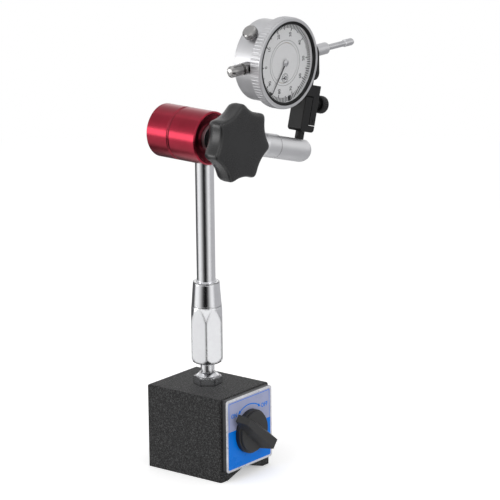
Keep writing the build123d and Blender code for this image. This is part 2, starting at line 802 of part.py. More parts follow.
def fine_adjustment():
    half = block_half_width
    depth = block_half_depth
    stud = Sphere(head_ball_radius) + bar(head_stem_radius, 0, block_bar_top - stem_below_bar_top)
    body = block((-half, half), (-depth, depth), (block_bottom, block_bar_top))
    body += block((-half, block_limb_right), (-depth, depth), (block_bottom, block_limb_top))
    corners = [
        e for e in body.edges() if abs(abs(e.center().X) - half) < 0.01 and e.center().Z < block_bottom + 0.01
    ]
    body = fillet(ShapeList(corners), block_corner_rounding)
    outer = [
        e for e in body.edges()
        if abs(e.center().X) > half - block_corner_rounding and abs(abs(e.center().Y) - depth) < 0.01
        and (e.geom_type != GeomType.LINE or abs(abs(e.center().X) - half) < 0.01)
    ]
    body = fillet(ShapeList(outer), block_edge_rounding)
    pin_seat = (pivot_pin_x, pivot_pin_height)
    body += block(
        (pivot_pin_x - knuckle_radius, pivot_pin_x + knuckle_radius), (-knuckle_half, knuckle_half),
        (block_bar_top - 1, pivot_pin_height),
    )
    body += bar_along_y(knuckle_radius, -knuckle_half, knuckle_half, pin_seat)
    stem_top = block_bar_top - stem_below_bar_top + running_fit
    body -= bar(head_stem_radius + running_fit, block_bottom - 1, stem_top)
    body -= bar_along_y(pivot_pin_radius, -depth - 1, depth + 1, pin_seat)
    adjuster = (0, adjuster_axis_height)
    body -= bar_along_x(adjuster_hole_radius, -half - 1, lever_left, adjuster)
    spring_place = (0, counter_spring_height)
    well = block_limb_right - counter_spring_well
    body -= bar_along_x(counter_spring_radius + 0.2, well, lever_left, spring_place)
    pin = bar_along_y(pivot_pin_radius, -depth + pin_inset, depth - pin_inset, pin_seat)
    coil = Plane.YZ.location * Pos(0, counter_spring_height, 0) * helix_spring(
        counter_spring_radius - counter_spring_wire, counter_spring_wire, well,
        (block_limb_right + lever_left) / 2, counter_spring_turns
    )
    add(head_frame, upper_ball_stud=stud, adjuster_block=body, pivot_pin=pin, counter_spring=coil)

    lever = block((lever_left, half), (-depth, depth), (lever_bottom, lever_top))
    lever += block((-half, half), (-depth, depth), (bridge_bottom, lever_top))
    upright = [
        e for e in lever.edges()
        if abs(abs(e.center().X) - half) < 0.01 and abs(abs(e.center().Y) - depth) < 0.01
    ]
    lever = fillet(ShapeList(upright), block_edge_rounding)
    tongue = block(
        (tongue_x - tongue_radius, tongue_x + tongue_radius), (-tongue_half, tongue_half),
        (lever_top - 1, tongue_height),
    )
    tongue += bar_along_y(tongue_radius, -tongue_half, tongue_half, (tongue_x, tongue_height))
    lever += tongue
    pocket = pivot_pin_x + knuckle_radius + cheek_gap + running_fit
    pocket_half = knuckle_half + cheek_gap
    lever -= block(
        (lever_left - 1, pocket), (-pocket_half, pocket_half),
        (lever_bottom - 1, pivot_pin_height + knuckle_radius + cheek_gap),
    )
    lever -= bar_along_y(pivot_pin_radius + running_fit, -depth, depth, pin_seat)
    lever -= bar_along_y(swivel_screw_radius + running_fit, -depth, depth, (tongue_x, tongue_height))
    lever -= bar_along_x(adjuster_shank_radius + running_fit, lever_left - 1, half + 1, adjuster)
    add(head_frame, adjuster_lever=lever)

    shank_start = edge_break - half
    head_start = half + adjuster_collar_length
    head_end = head_start + adjuster_head_length
    bevel = adjuster_head_bevel
    screw = turned(
        (0, shank_start), (adjuster_shank_radius, shank_start), (adjuster_shank_radius, half + running_fit),
        (adjuster_collar_radius, half + running_fit), (adjuster_collar_radius, head_start),
        (adjuster_head_radius - bevel, head_start), (adjuster_head_radius, head_start + bevel),
        (adjuster_head_radius, head_end - bevel), (adjuster_head_radius - bevel, head_end), (0, head_end),
    )
    add(head_frame, adjusting_screw=Plane.YZ.location * Pos(0, adjuster_axis_height, 0) * screw)


def stem_holder():
    depth = holder_half_depth
    slit = tongue_half + cheek_gap
    pivot = (holder_middle, -holder_pivot_drop)
    strap = along_x(bar(holder_top, holder_start, holder_end))
    strap += block((holder_start, holder_end), (-holder_pivot_drop, 0), (-depth, depth))
    strap += bar((holder_end - holder_start) / 2, -depth, depth, pivot)
    strap -= along_x(bar(stem_radius + running_fit, holder_start - 1, holder_end + 1))
    strap -= block(
        (holder_start - 1, holder_end + 1), (-holder_pivot_drop - 2 * tongue_radius, 0), (-slit, slit)
    )
    strap -= bar(swivel_screw_radius, -depth - 1, depth + 1, pivot)
    screw = bar(swivel_screw_radius, -depth, depth - 0.6, pivot)
    screw += bar(swivel_head_radius, -depth - swivel_head_height, -depth, pivot)
    add(dial_frame, stem_holder=strap, swivel_screw=screw)


def dial_case():
    ledge = rear_plate_bottom
    inner = case_radius - case_wall
    stem_seat = inner + stem_seat_gap
    case = turned(
        (inner - case_ledge, case_back), (case_radius, case_back), (case_radius, case_front),
        (inner, case_front), (inner, ledge), (inner - case_ledge, ledge),
    )
    stem_hole = along_x(bar(stem_radius, stem_seat, case_radius + 1))
    spindle_hole = along_x(bar(cap_bore_radius, -case_radius - 1, case_radius + 1))
    clamp_turn = radians(clamp_screw_angle)
    boss_frame = Plane(
        origin=(0, 0, clamp_screw_level), x_dir=(0, 0, 1), z_dir=(cos(clamp_turn), sin(clamp_turn), 0)
    )
    boss = boss_frame.location * bar(clamp_boss_radius, case_radius - 1, clamp_boss_end)
    case = case + boss - stem_hole - spindle_hole
    case -= boss_frame.location * bar(
        clamp_screw_radius + running_fit, case_radius - case_wall - case_ledge + 1.5, clamp_boss_end + 1
    )
    screw_places = around(back_screw_count, back_screw_orbit, 45)
    back = bar(case_radius, case_back - back_cover_thickness, case_back)
    back = chamfer(back.edges().sort_by(Axis.Z)[:1], 0.5)
    screws = []
    for place in screw_places:
        shank = bar(back_screw_radius, case_back - back_cover_thickness, case_back + 3, place)
        back -= bar(back_screw_radius + screw_clearance, -20, case_back + 1, place)
        case -= bar(back_screw_radius + screw_clearance, case_back - 1, case_back + 3.2, place)
        head = bar(
            1.9 * back_screw_radius, case_back - back_cover_thickness - 0.6,
            case_back - back_cover_thickness, place,
        )
        screws.append(dial_frame.location * (shank + head))
    pieces["back_cover_screws"] = screws

    screw = turned(
        (0, case_radius - case_wall + 0.5), (clamp_screw_radius, case_radius - case_wall + 0.5),
        (clamp_screw_radius, clamp_screw_head_start),
        (clamp_screw_head_radius - edge_break, clamp_screw_head_start),
        (clamp_screw_head_radius, clamp_screw_head_start + edge_break),
        (clamp_screw_head_radius, clamp_screw_head_end - 2 * edge_break),
        (clamp_screw_head_radius - 2 * edge_break, clamp_screw_head_end), (0, clamp_screw_head_end),
    )
    bore = spindle_radius + running_fit
    stem = turned(
        (bore, stem_seat), (stem_radius, stem_seat), (stem_radius, stem_end - 2 * edge_break),
        (stem_radius - 2 * edge_break, stem_end), (bore, stem_end),
    )
    cap = turned(
        (cap_bore_radius, -stem_seat), (cap_collar_radius - 1.4, -stem_seat),
        (cap_collar_radius - 1.4, -case_radius - 0.1), (cap_collar_radius, -case_radius - 0.1),
        (cap_collar_radius, cap_collar_end), (cap_groove_radius, cap_collar_end),
        (cap_groove_radius, cap_groove_end), (cap_radius, cap_groove_end), (cap_radius, cap_end + 2.0),
        (0.6 * cap_radius, cap_end + 0.3), (0, cap_end), (0, cap_bore_end), (cap_bore_radius, cap_bore_end),
    )
    case -= along_x(bar(cap_collar_radius - 1.4, -case_radius - 1, -stem_seat))
    add(
        dial_frame, dial_case=case, back_cover=back, dial_stem=along_x(stem), spindle_cap=along_x(cap),
        bezel_clamp_screw=Plane(
            origin=(0, 0, clamp_screw_level), x_dir=(0, 0, 1),
            z_dir=(cos(clamp_turn), sin(clamp_turn), 0),
        ).location * screw,
    )


def movement():
    rack_module = rack_pitch / pi
    pinion_radius = rack_module * rack_pinion_teeth / 2
    rack_line = rack_root - 1.25 * rack_module
    arbor_drop = -(pinion_radius - rack_line)
    arbor_x = sqrt(wheel_centre_distance**2 - arbor_drop**2)
    arbor = (arbor_x, arbor_drop)
    pinion_half = 1.2
    share = wheel_teeth / (wheel_teeth + centre_pinion_teeth)
    wheel_radius = wheel_centre_distance * share
    small_radius = wheel_centre_distance - wheel_radius
    return_arbor = (0, -wheel_centre_distance)

    spindle = bar(spindle_radius, spindle_tail, spindle_end - 2)
    rack = along_x(spindle)
    half_root = 0.28 * rack_pitch
    half_top = 0.408 * rack_pitch
    past_face = -spindle_radius - 0.1
    for n in range(-rack_lead_count, rack_tail_count + 1):
        gap = arbor_x + n * rack_pitch
        outline = [
            (gap - half_root, rack_root), (gap + half_root, rack_root),
            (gap + half_top, past_face), (gap - half_top, past_face),
        ]
        rack -= prism(outline, -spindle_radius - 1, spindle_radius + 1)
    contact = turned(
        (0, spindle_end - 2), (spindle_radius, spindle_end - 2), (spindle_radius, contact_start),
        (contact_radius, contact_start + 2 * edge_break), (contact_radius, contact_end - contact_rounding),
        (contact_radius - edge_break, contact_end - edge_break), (0.5 * contact_radius, contact_end),
        (0, contact_end),
    )
    add(dial_frame, spindle=rack, contact_point=along_x(contact))

    mesh_phase = degrees(asin(arbor_drop / wheel_centre_distance))
    rack_phase = 90.0
    rack_gear = gear(rack_pinion_teeth, pinion_radius, -pinion_half, 2 * pinion_half, rack_phase, arbor)
    wheel_phase = meshed_phase(centre_pinion_teeth, mesh_phase, mesh_phase, wheel_teeth)
    rack_gear += gear(
        wheel_teeth, wheel_radius, rack_wheel_level, wheel_thickness, wheel_phase, arbor, pointed=True
    )
    rack_gear += bar(arbor_radius, -pinion_half - 0.4, front_plate_top, arbor)
    centre = gear(
        centre_pinion_teeth, small_radius, rack_wheel_level - 0.1,
        return_wheel_level + wheel_thickness - rack_wheel_level + 0.2, mesh_phase,
    )
    centre += bar(arbor_radius, rear_plate_bottom, main_pointer_level)
    return_phase = meshed_phase(centre_pinion_teeth, mesh_phase, -90, wheel_teeth)
    return_gear = gear(
        wheel_teeth, wheel_radius, return_wheel_level, wheel_thickness, return_phase, return_arbor,
        pointed=True,
    )
    return_gear += bar(hairspring_inner, return_wheel_level, hairspring_level, return_arbor)
    return_gear += bar(arbor_radius, rear_plate_bottom, small_pointer_level, return_arbor)
    add(dial_frame, rack_gear=rack_gear, centre_pinion=centre, return_gear=return_gear)

    rear_plate = bar(case_radius - case_wall - 0.1, rear_plate_bottom, rear_plate_top)
    front_plate = bar(plate_radius, front_plate_bottom, front_plate_top)
    for place in around(3, pillar_orbit, pillar_turn):
        rear_plate += bar(pillar_radius, rear_plate_bottom, front_plate_bottom, place)
    for place in (arbor, (0, 0), return_arbor):
        rear_plate -= bar(arbor_radius + running_fit, -1, front_plate_top, place)
        front_plate -= bar(arbor_radius + running_fit, -1, front_plate_top + 1, place)
    turns = hairspring_turn_count
    steps = hairspring_step_count * turns
    strip = []
    for side in (-hairspring_strip / 2, hairspring_strip / 2):
        line = []
        for n in range(steps + 1):
            angle = 2 * pi * turns * n / steps
            radius = hairspring_inner + hairspring_pitch * angle / (2 * pi) + side
            line.append((return_arbor[0] + radius * cos(angle), return_arbor[1] + radius * sin(angle)))
        strip.append(line)
    hairspring = prism(strip[0] + strip[1][::-1], hairspring_level, hairspring_level + hairspring_thickness)
    dial_centre = bar(dial_centre_radius, dial_centre_bottom, bezel_ledge_top + dial_ring_thickness)
    for place in around(2, 0.7 * dial_centre_radius, dial_foot_turn):
        dial_centre += bar(1.0, front_plate_top, dial_centre_bottom, place)
    for place in ((0, 0), return_arbor):
        dial_centre -= bar(arbor_radius + 0.2, -1, crystal_bottom, place)
    add(
        dial_frame, movement_rear_plate=rear_plate, movement_front_plate=front_plate,
        hairspring=hairspring, dial_centre=dial_centre,
    )

    pointer = pointer_blade(main_pointer_length, 1.0, 2.2, main_pointer_angle)
    small = Pos(*return_arbor) * pointer_blade(small_pointer_length, 0.7, 1.1, 180)
    add(
        dial_frame,
        main_pointer=Pos(0, 0, main_pointer_level) * pointer,
        small_pointer=Pos(0, 0, small_pointer_level) * small,
    )


def pointer_blade(length, width, hub, turn):
    """Flat pointer with a round hub and a short tail, in the XY plane."""
    tail = -0.22 * length
    blade = make_face(Polyline(
        (tail, -width / 2), (0, -width / 2), (length, -0.12), (length, 0.12), (0, width / 2),
        (tail, width / 2), close=True,
    ))
    return Rot(0, 0, turn) * extrude(blade + Circle(hub), pointer_thickness)


def bezel():
    fit = case_radius + bezel_clearance
    ring_top = bezel_ledge_top + dial_ring_thickness
    bezel_ring = turned(
        (fit, bezel_back), (bezel_radius - bezel_bevel, bezel_back), (bezel_radius, bezel_back + bezel_bevel),
        (bezel_radius, bezel_front - bezel_bevel), (bezel_radius - bezel_bevel, bezel_front),
        (bezel_rim_radius, bezel_front),
        (bezel_rim_radius, bezel_ledge_top), (bezel_ledge_radius, bezel_ledge_top),
        (bezel_ledge_radius, bezel_ledge_bottom), (fit, bezel_ledge_bottom),
    )
    insert = turned(
        (insert_inner_radius, ring_top), (bezel_rim_radius, ring_top), (bezel_rim_radius, bezel_front - 0.3),
        (insert_lip_radius + 0.9, bezel_front - 0.3), (insert_lip_radius, crystal_bottom + crystal_thickness),
        (insert_inner_radius, crystal_bottom + crystal_thickness),
    )
    crystal = bar(crystal_radius, crystal_bottom, crystal_bottom + crystal_thickness)
    ring = bar(bezel_rim_radius - 0.1, bezel_ledge_top, ring_top) - bar(dial_ring_inner, 0, ring_top + 1)
    add(dial_frame, bezel=bezel_ring, bezel_insert=insert, crystal=crystal, dial_ring=ring)
    for name, turn in zip(("lower_marker", "upper_marker"), marker_angles):
        outer = insert_inner_radius - 0.05
        tab = block((marker_inner, outer), (-marker_width / 2, marker_width / 2),
                    (marker_level, marker_level + marker_thickness))
        tab &= bar(outer, 0, 20)
        add(dial_frame, **{name: Rot(0, 0, turn) * tab})


def write_parts():
    """Writes each piece, or group of like pieces, to a file of its own."""
    os.makedirs("parts", exist_ok=True)
    for name, shape in pieces.items():
        solids = shape if isinstance(shape, list) else [shape]
        solids = [solid for part in solids for solid in part.solids()]
        whole = solids[0] if len(solids) == 1 else Compound(solids)
        export_step(whole, f"parts/{name}.step")


magnetic_base()
switch()
lower_arm()
clamp()
star_knob()
upper_arm()
fine_adjustment()
stem_holder()
dial_case()
movement()
bezel()
write_parts()
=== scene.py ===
import json
import math

import bmesh
import bpy
from bpy.props import FloatProperty, FloatVectorProperty, IntProperty, PointerProperty
from mathutils import Matrix, Vector


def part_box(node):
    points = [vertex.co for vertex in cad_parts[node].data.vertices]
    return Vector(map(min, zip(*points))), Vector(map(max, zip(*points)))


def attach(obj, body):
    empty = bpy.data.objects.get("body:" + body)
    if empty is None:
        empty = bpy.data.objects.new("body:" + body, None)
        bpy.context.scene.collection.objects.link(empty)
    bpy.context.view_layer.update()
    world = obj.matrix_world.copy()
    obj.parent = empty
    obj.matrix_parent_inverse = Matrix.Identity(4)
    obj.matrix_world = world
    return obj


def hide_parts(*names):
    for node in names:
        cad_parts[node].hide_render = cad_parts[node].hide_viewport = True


bl_info = {
    "name": "Dial indicator with magnetic base",
    "version": (1, 0, 0),
    "blender": (4, 5, 0),
    "location": "View3D > Sidebar > Dial Stand",
    "description": "Finishes, prints, knurls and a plain studio for a dial indicator on a magnetic stand",
    "category": "Object",
}

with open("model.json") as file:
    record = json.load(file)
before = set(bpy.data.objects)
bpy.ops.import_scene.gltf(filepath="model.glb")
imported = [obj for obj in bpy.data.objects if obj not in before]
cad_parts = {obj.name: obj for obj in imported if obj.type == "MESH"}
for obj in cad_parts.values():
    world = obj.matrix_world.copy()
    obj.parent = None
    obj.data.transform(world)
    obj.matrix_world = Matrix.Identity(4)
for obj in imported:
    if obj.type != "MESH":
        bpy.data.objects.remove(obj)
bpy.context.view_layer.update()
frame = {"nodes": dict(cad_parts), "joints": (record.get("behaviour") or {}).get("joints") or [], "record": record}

MM = 0.001
JOINTS = {joint["name"]: joint for joint in frame["joints"]}
NODES = frame["nodes"]


def joint_axis(name):
    """Axis of a joint at rest."""
    return Vector(JOINTS[name]["axis"]).normalized()


def joint_point(name):
    """Point on a hinge's axis at rest."""
    return Vector(JOINTS[name]["pos_m"])


def placed(origin, x, z):
    """Matrix of a frame from its origin, X direction and Z direction."""
    z = z.normalized()
    x = (x - z * x.dot(z)).normalized()
    matrix = Matrix((x, z.cross(x), z)).transposed().to_4x4()
    matrix.translation = origin
    return matrix


# The dial's frame has X along the spindle and Z out of the face; the clamp's has Z towards the star knob.
FACE_AXIS = joint_axis("bezel_turn")
DIAL = placed(joint_point("bezel_turn"), joint_axis("dial_roll"), FACE_AXIS)
CLAMP = placed(joint_point("clamp_turn"), Vector((1, 0, 0)), joint_axis("knob_turn"))
ADJUSTER = placed(joint_point("adjuster_screw_turn"), FACE_AXIS, joint_axis("adjuster_screw_turn"))
CLAMP_SCREW = placed(joint_point("clamp_screw_turn"), FACE_AXIS, joint_axis("clamp_screw_turn"))


def linear(hex_colour):
    """Linear colour of an sRGB hex value."""
    values = [int(hex_colour[i:i + 2], 16) / 255 for i in (1, 3, 5)]
    return [v / 12.92 if v <= 0.04045 else ((v + 0.055) / 1.055) ** 2.4 for v in values] + [1.0]


def local_points(node, matrix):
    """Points of a CAD node in a frame of its own."""
    inverse = matrix.inverted()
    return [inverse @ vertex.co for vertex in NODES[node].data.vertices]


def local_box(node, matrix):
    """Lowest and highest corners of a CAD node in a frame of its own."""
    sides = list(zip(*local_points(node, matrix)))
    return Vector([min(side) for side in sides]), Vector([max(side) for side in sides])


# Sizes and colours that a user would change

LENGTH = {"min": 0, "unit": "LENGTH", "precision": 5}
COLOUR = {"subtype": "COLOR", "size": 4, "min": 0, "max": 1}


class PrintSettings(bpy.types.PropertyGroup):
    field_margin: FloatProperty(
        name="Label margin", description="Bare border round the printed label", default=1.5 * MM, **LENGTH)
    line_inset: FloatProperty(
        name="Line inset", description="From the label's edge to the thin line", default=2.3 * MM, **LENGTH)
    line_width: FloatProperty(
        name="Line width", description="Width of the thin line round the label", default=0.35 * MM,
        **LENGTH)
    field_split: FloatProperty(
        name="Field split", description="Height at which the blue field begins", default=33.3 * MM,
        **LENGTH)
    ink_depth: FloatProperty(
        name="Ink depth", description="How far a print stands off its plate", default=0.04 * MM, **LENGTH)
    blue: FloatVectorProperty(
        name="Blue", description="Colour of the label's lower field", default=linear("#0082f4"), **COLOUR)
    pale: FloatVectorProperty(
        name="Pale", description="Colour of the label's upper field", default=linear("#b1b7d9"), **COLOUR)


class DialSettings(bpy.types.PropertyGroup):
    divisions: IntProperty(
        name="Divisions", description="Divisions round the dial", default=100, min=10)
    outer_radius: FloatProperty(
        name="Outer radius", description="Outer end of the division marks", default=26.2 * MM, **LENGTH)
    short_length: FloatProperty(
        name="Short mark", description="Length of a single division mark", default=3.3 * MM, **LENGTH)
    step_length: FloatProperty(
        name="Longer by", description="How much longer each fifth and tenth mark is", default=0.8 * MM,
        **LENGTH)
    mark_width: FloatProperty(
        name="Mark width", description="Width of a division mark, broad enough to show from afar",
        default=0.68 * MM, **LENGTH)
    number_radius: FloatProperty(
        name="Number radius", description="Middle of the numbers", default=19 * MM, **LENGTH)
    number_size: FloatProperty(
        name="Number size", description="Height of the type", default=3.3 * MM, **LENGTH)
    circle_radius: FloatProperty(
        name="Circle radius", description="Thin circle inside the numbers", default=15.1 * MM, **LENGTH)


class KnurlSettings(bpy.types.PropertyGroup):
    bezel_count: IntProperty(
        name="Bezel flutes", description="Flutes round the bezel", default=80, min=3)
    screw_count: IntProperty(
        name="Screw flutes", description="Flutes round a knurled screw head", default=30, min=3)
    height: FloatProperty(
        name="Height", description="How far a flute stands proud", default=0.24 * MM, **LENGTH)


class StarSettings(bpy.types.PropertyGroup):
    points: IntProperty(name="Points", description="Points of the star knob", default=7, min=3)
    radius: FloatProperty(
        name="Radius", description="From the knob's axis to a point", default=25.6 * MM, **LENGTH)
    hollow_depth: FloatProperty(
        name="Hollow depth", description="From the points' circle to the middle of a hollow",
        default=4.3 * MM, **LENGTH)
    hollow_radius: FloatProperty(
        name="Hollow radius", description="Radius of a hollow's curve", default=24 * MM, **LENGTH)
    turn: FloatProperty(
        name="Turn", description="Angle of the first point", default=math.radians(-14), subtype="ANGLE")


class StudioSettings(bpy.types.PropertyGroup):
    azimuth: FloatProperty(
        name="Azimuth", description="Camera's turn about the object", default=math.radians(-51.727),
        subtype="ANGLE")
    elevation: FloatProperty(
        name="Elevation", description="Camera's angle above the horizon", default=math.radians(14.546),
        subtype="ANGLE")
    roll: FloatProperty(
        name="Roll", description="Camera's turn about its line of sight", default=math.radians(-0.664),
        subtype="ANGLE")
    distance: FloatProperty(
        name="Distance", description="Camera's distance along its line of sight", default=1.942685,
        **LENGTH)
    slide: FloatVectorProperty(
        name="Slide", description="Camera's place across its line of sight", size=2,
        default=(0.026514, 0.138788), unit="LENGTH", precision=5)
    focal_length: FloatProperty(
        name="Focal length", description="Lens on a 36 mm sensor", default=216.0, min=1)


GROUPS = {
    "stand_print": PrintSettings, "stand_dial": DialSettings, "stand_knurl": KnurlSettings,
    "stand_star": StarSettings, "stand_studio": StudioSettings,
}


# Material nodes

def add_node(tree, kind, **given):
    """Adds a node. A name that starts small is a setting of the node; any other is an input, by name or by
    number, and takes a value, or a node and the name of its output."""
    made = tree.nodes.new(kind)
    for name, value in given.items():
        if name[0].islower():
            setattr(made, name, value)
            continue
        socket = made.inputs[int(name[1:]) if name[0] == "_" else name.replace("_", " ")]
        if isinstance(value, tuple) and isinstance(value[0], bpy.types.Node):
            tree.links.new(value[0].outputs[value[1]], socket)
        else:
            socket.default_value = value
    return made


def new_material(name):
    """Empty node material and its tree."""
    made = bpy.data.materials.new(name)
    made.use_nodes = True
    made.node_tree.nodes.clear()
    return made, made.node_tree


def object_coordinates(tree, matrix=None):
    """Object coordinates, or those of a piece's own frame."""
    coordinates = add_node(tree, "ShaderNodeTexCoord")
    if matrix is None:
        return coordinates, "Object"
    turned = add_node(
        tree, "ShaderNodeMapping", vector_type="TEXTURE", Vector=(coordinates, "Object"),
        Location=matrix.translation, Rotation=matrix.to_euler())
    return turned, "Vector"


BLOTCH_MM = 14.0


def surface(name, colour, dark, roughness, rough_spread, grain_mm, bump_mm, metallic=0.0, edge_mm=0.25,
            edge_wear_and_light_colour=None, edge_wear_and_light_strength=0.6, lines_mm=None, lines_frame=None, lines_axis="Z",
            crevice_shade_mm=None, crevice_shade_colour="#000000", **gloss):
    """A finish: colour that varies between two hex values in soft blotches, grain at a real size, rounded edges
    tinted towards an edge colour, painted shade in crevices, and tool lines across an axis where the piece was
    turned.
    Real tool lines lie under 0.1 mm apart; these are as coarse as they need to be to show."""
    made, tree = new_material(name)
    place = object_coordinates(tree)
    blotch = add_node(tree, "ShaderNodeTexNoise", Vector=place, Scale=1 / (BLOTCH_MM * MM), Detail=3.0)
    grain = add_node(
        tree, "ShaderNodeTexNoise", Vector=place, Scale=1 / (grain_mm * MM), Detail=4.0, Roughness=0.6)
    share = add_node(tree, "ShaderNodeMath", operation="ADD", _0=(blotch, "Fac"), _1=(grain, "Fac"))
    span = add_node(tree, "ShaderNodeMapRange", Value=(share, "Value"), From_Min=0.7, From_Max=1.3)
    tint = add_node(
        tree, "ShaderNodeMix", data_type="RGBA", _0=(span, "Result"), _6=linear(dark), _7=linear(colour))
    bevel = add_node(tree, "ShaderNodeBevel", Radius=edge_mm * MM)
    # edge colour flecked by the grain on the rounded edges: a painted highlight on the red anodising and black
    # phenolic, a painted dark reflection on the chrome, wear on the blacked steel
    if edge_wear_and_light_colour:
        geometry = add_node(tree, "ShaderNodeNewGeometry")
        dot = add_node(
            tree, "ShaderNodeVectorMath", operation="DOT_PRODUCT", _0=(bevel, "Normal"),
            _1=(geometry, "Normal"))
        edge_wear_and_light = add_node(
            tree, "ShaderNodeMapRange", Value=(dot, "Value"), From_Min=0.985, From_Max=0.9,
            To_Max=edge_wear_and_light_strength)
        flecked_edge_wear_and_light = add_node(
            tree, "ShaderNodeMath", operation="MULTIPLY", _0=(edge_wear_and_light, "Result"), _1=(grain, "Fac"))
        tint = add_node(
            tree, "ShaderNodeMix", data_type="RGBA", _0=(flecked_edge_wear_and_light, "Value"), _6=(tint, 2),
            _7=linear(edge_wear_and_light_colour))
    # painted shade: the colour darkens towards the crevice colour where ambient occlusion finds a crevice
    if crevice_shade_mm:
        crevice_shade_occlusion = add_node(
            tree, "ShaderNodeAmbientOcclusion", samples=8, Distance=crevice_shade_mm * MM,
            Normal=(bevel, "Normal"))
        unshaded_share = add_node(tree, "ShaderNodeMapRange", Value=(crevice_shade_occlusion, "AO"), From_Min=0.3, From_Max=0.9)
        tint = add_node(
            tree, "ShaderNodeMix", data_type="RGBA", _0=(unshaded_share, "Result"),
            _6=linear(crevice_shade_colour), _7=(tint, 2))
    height = (grain, "Fac")
    if lines_mm:
        # the bands of a wave texture of scale 1 repeat every pi / 10
        lines = add_node(
            tree, "ShaderNodeTexWave", bands_direction=lines_axis,
            Vector=object_coordinates(tree, lines_frame), Scale=math.pi / 10 / (lines_mm * MM),
            Distortion=0.6, Detail=2.0)
        both = add_node(
            tree, "ShaderNodeMath", operation="MULTIPLY_ADD", _0=(lines, "Fac"), _1=0.6, _2=(grain, "Fac"))
        height = (both, "Value")
    bump = add_node(
        tree, "ShaderNodeBump", Distance=bump_mm * MM, Height=height, Normal=(bevel, "Normal"))
    rough = add_node(
        tree, "ShaderNodeMapRange", Value=(share, "Value"), From_Min=0.7, From_Max=1.3,
        To_Min=roughness - rough_spread, To_Max=roughness + rough_spread)
    shader = add_node(
        tree, "ShaderNodeBsdfPrincipled", Base_Color=(tint, 2), Metallic=metallic,
        Roughness=(rough, "Result"), Normal=(bump, "Normal"), **gloss)
    add_node(tree, "ShaderNodeOutputMaterial", Surface=(shader, "BSDF"))
    return made


def crinkle_paint():
    """Stoved crinkle enamel on the cast poles: a matt skin of tight wrinkles whose crests are coloured pale, a
    painted highlight in place of the light they catch. The wrinkles are drawn coarser than the finest real ones,
    so that they show."""
    made, tree = new_material("black_crinkle_enamel")
    place = object_coordinates(tree)
    warp = add_node(tree, "ShaderNodeTexNoise", Vector=place, Scale=1 / (3.0 * MM), Detail=2.0)
    wrinkle = add_node(
        tree, "ShaderNodeTexNoise", Vector=place, Scale=1 / (0.9 * MM), Detail=2.0, Roughness=0.7,
        Distortion=0.8)
    crest_height_and_highlight = add_node(tree, "ShaderNodeMapRange", Value=(wrinkle, "Fac"), From_Min=0.47, From_Max=0.7)
    relief = add_node(
        tree, "ShaderNodeMath", operation="MULTIPLY_ADD", _0=(warp, "Fac"), _1=0.3, _2=(crest_height_and_highlight, "Result"))
    # painted highlight: the wrinkle crests are coloured pale as if they caught the light
    tint = add_node(
        tree, "ShaderNodeMix", data_type="RGBA", _0=(crest_height_and_highlight, "Result"), _6=linear("#060606"),
        _7=linear("#565657"))
    bevel = add_node(tree, "ShaderNodeBevel", Radius=0.5 * MM)
    bump = add_node(
        tree, "ShaderNodeBump", Distance=0.16 * MM, Height=(relief, "Value"), Normal=(bevel, "Normal"))
    shader = add_node(
        tree, "ShaderNodeBsdfPrincipled", Base_Color=(tint, 2), Roughness=0.55, Normal=(bump, "Normal"),
        Specular_IOR_Level=0.3)
    add_node(tree, "ShaderNodeOutputMaterial", Surface=(shader, "BSDF"))
    return made


def acrylic_crystal():
    """Cast acrylic crystal, so clear that only its reflections show."""
    made, tree = new_material("clear_acrylic")
    shader = add_node(
        tree, "ShaderNodeBsdfPrincipled", Base_Color=linear("#7c8084"), Roughness=0.04, IOR=1.49,
        Alpha=0.05)
    add_node(tree, "ShaderNodeOutputMaterial", Surface=(shader, "BSDF"))
    return made


def label_ink(name, colour):
    """Printed and varnished film of the label, in a colour that a user may set."""
    made, tree = new_material(name)
    haze = add_node(
        tree, "ShaderNodeTexNoise", Vector=object_coordinates(tree), Scale=1 / (9 * MM), Detail=3.0)
    rough = add_node(
        tree, "ShaderNodeMapRange", Value=(haze, "Fac"), From_Min=0.3, From_Max=0.7, To_Min=0.24,
        To_Max=0.36)
    value = add_node(
        tree, "ShaderNodeMapRange", Value=(haze, "Fac"), From_Min=0.2, From_Max=0.8, To_Min=0.94,
        To_Max=1.04)
    tint = add_node(tree, "ShaderNodeHueSaturation", Color=tuple(colour), Value=(value, "Result"))
    shader = add_node(
        tree, "ShaderNodeBsdfPrincipled", Base_Color=(tint, "Color"), Roughness=(rough, "Result"),
        Specular_IOR_Level=0.12)
    add_node(tree, "ShaderNodeOutputMaterial", Surface=(shader, "BSDF"))
    return made


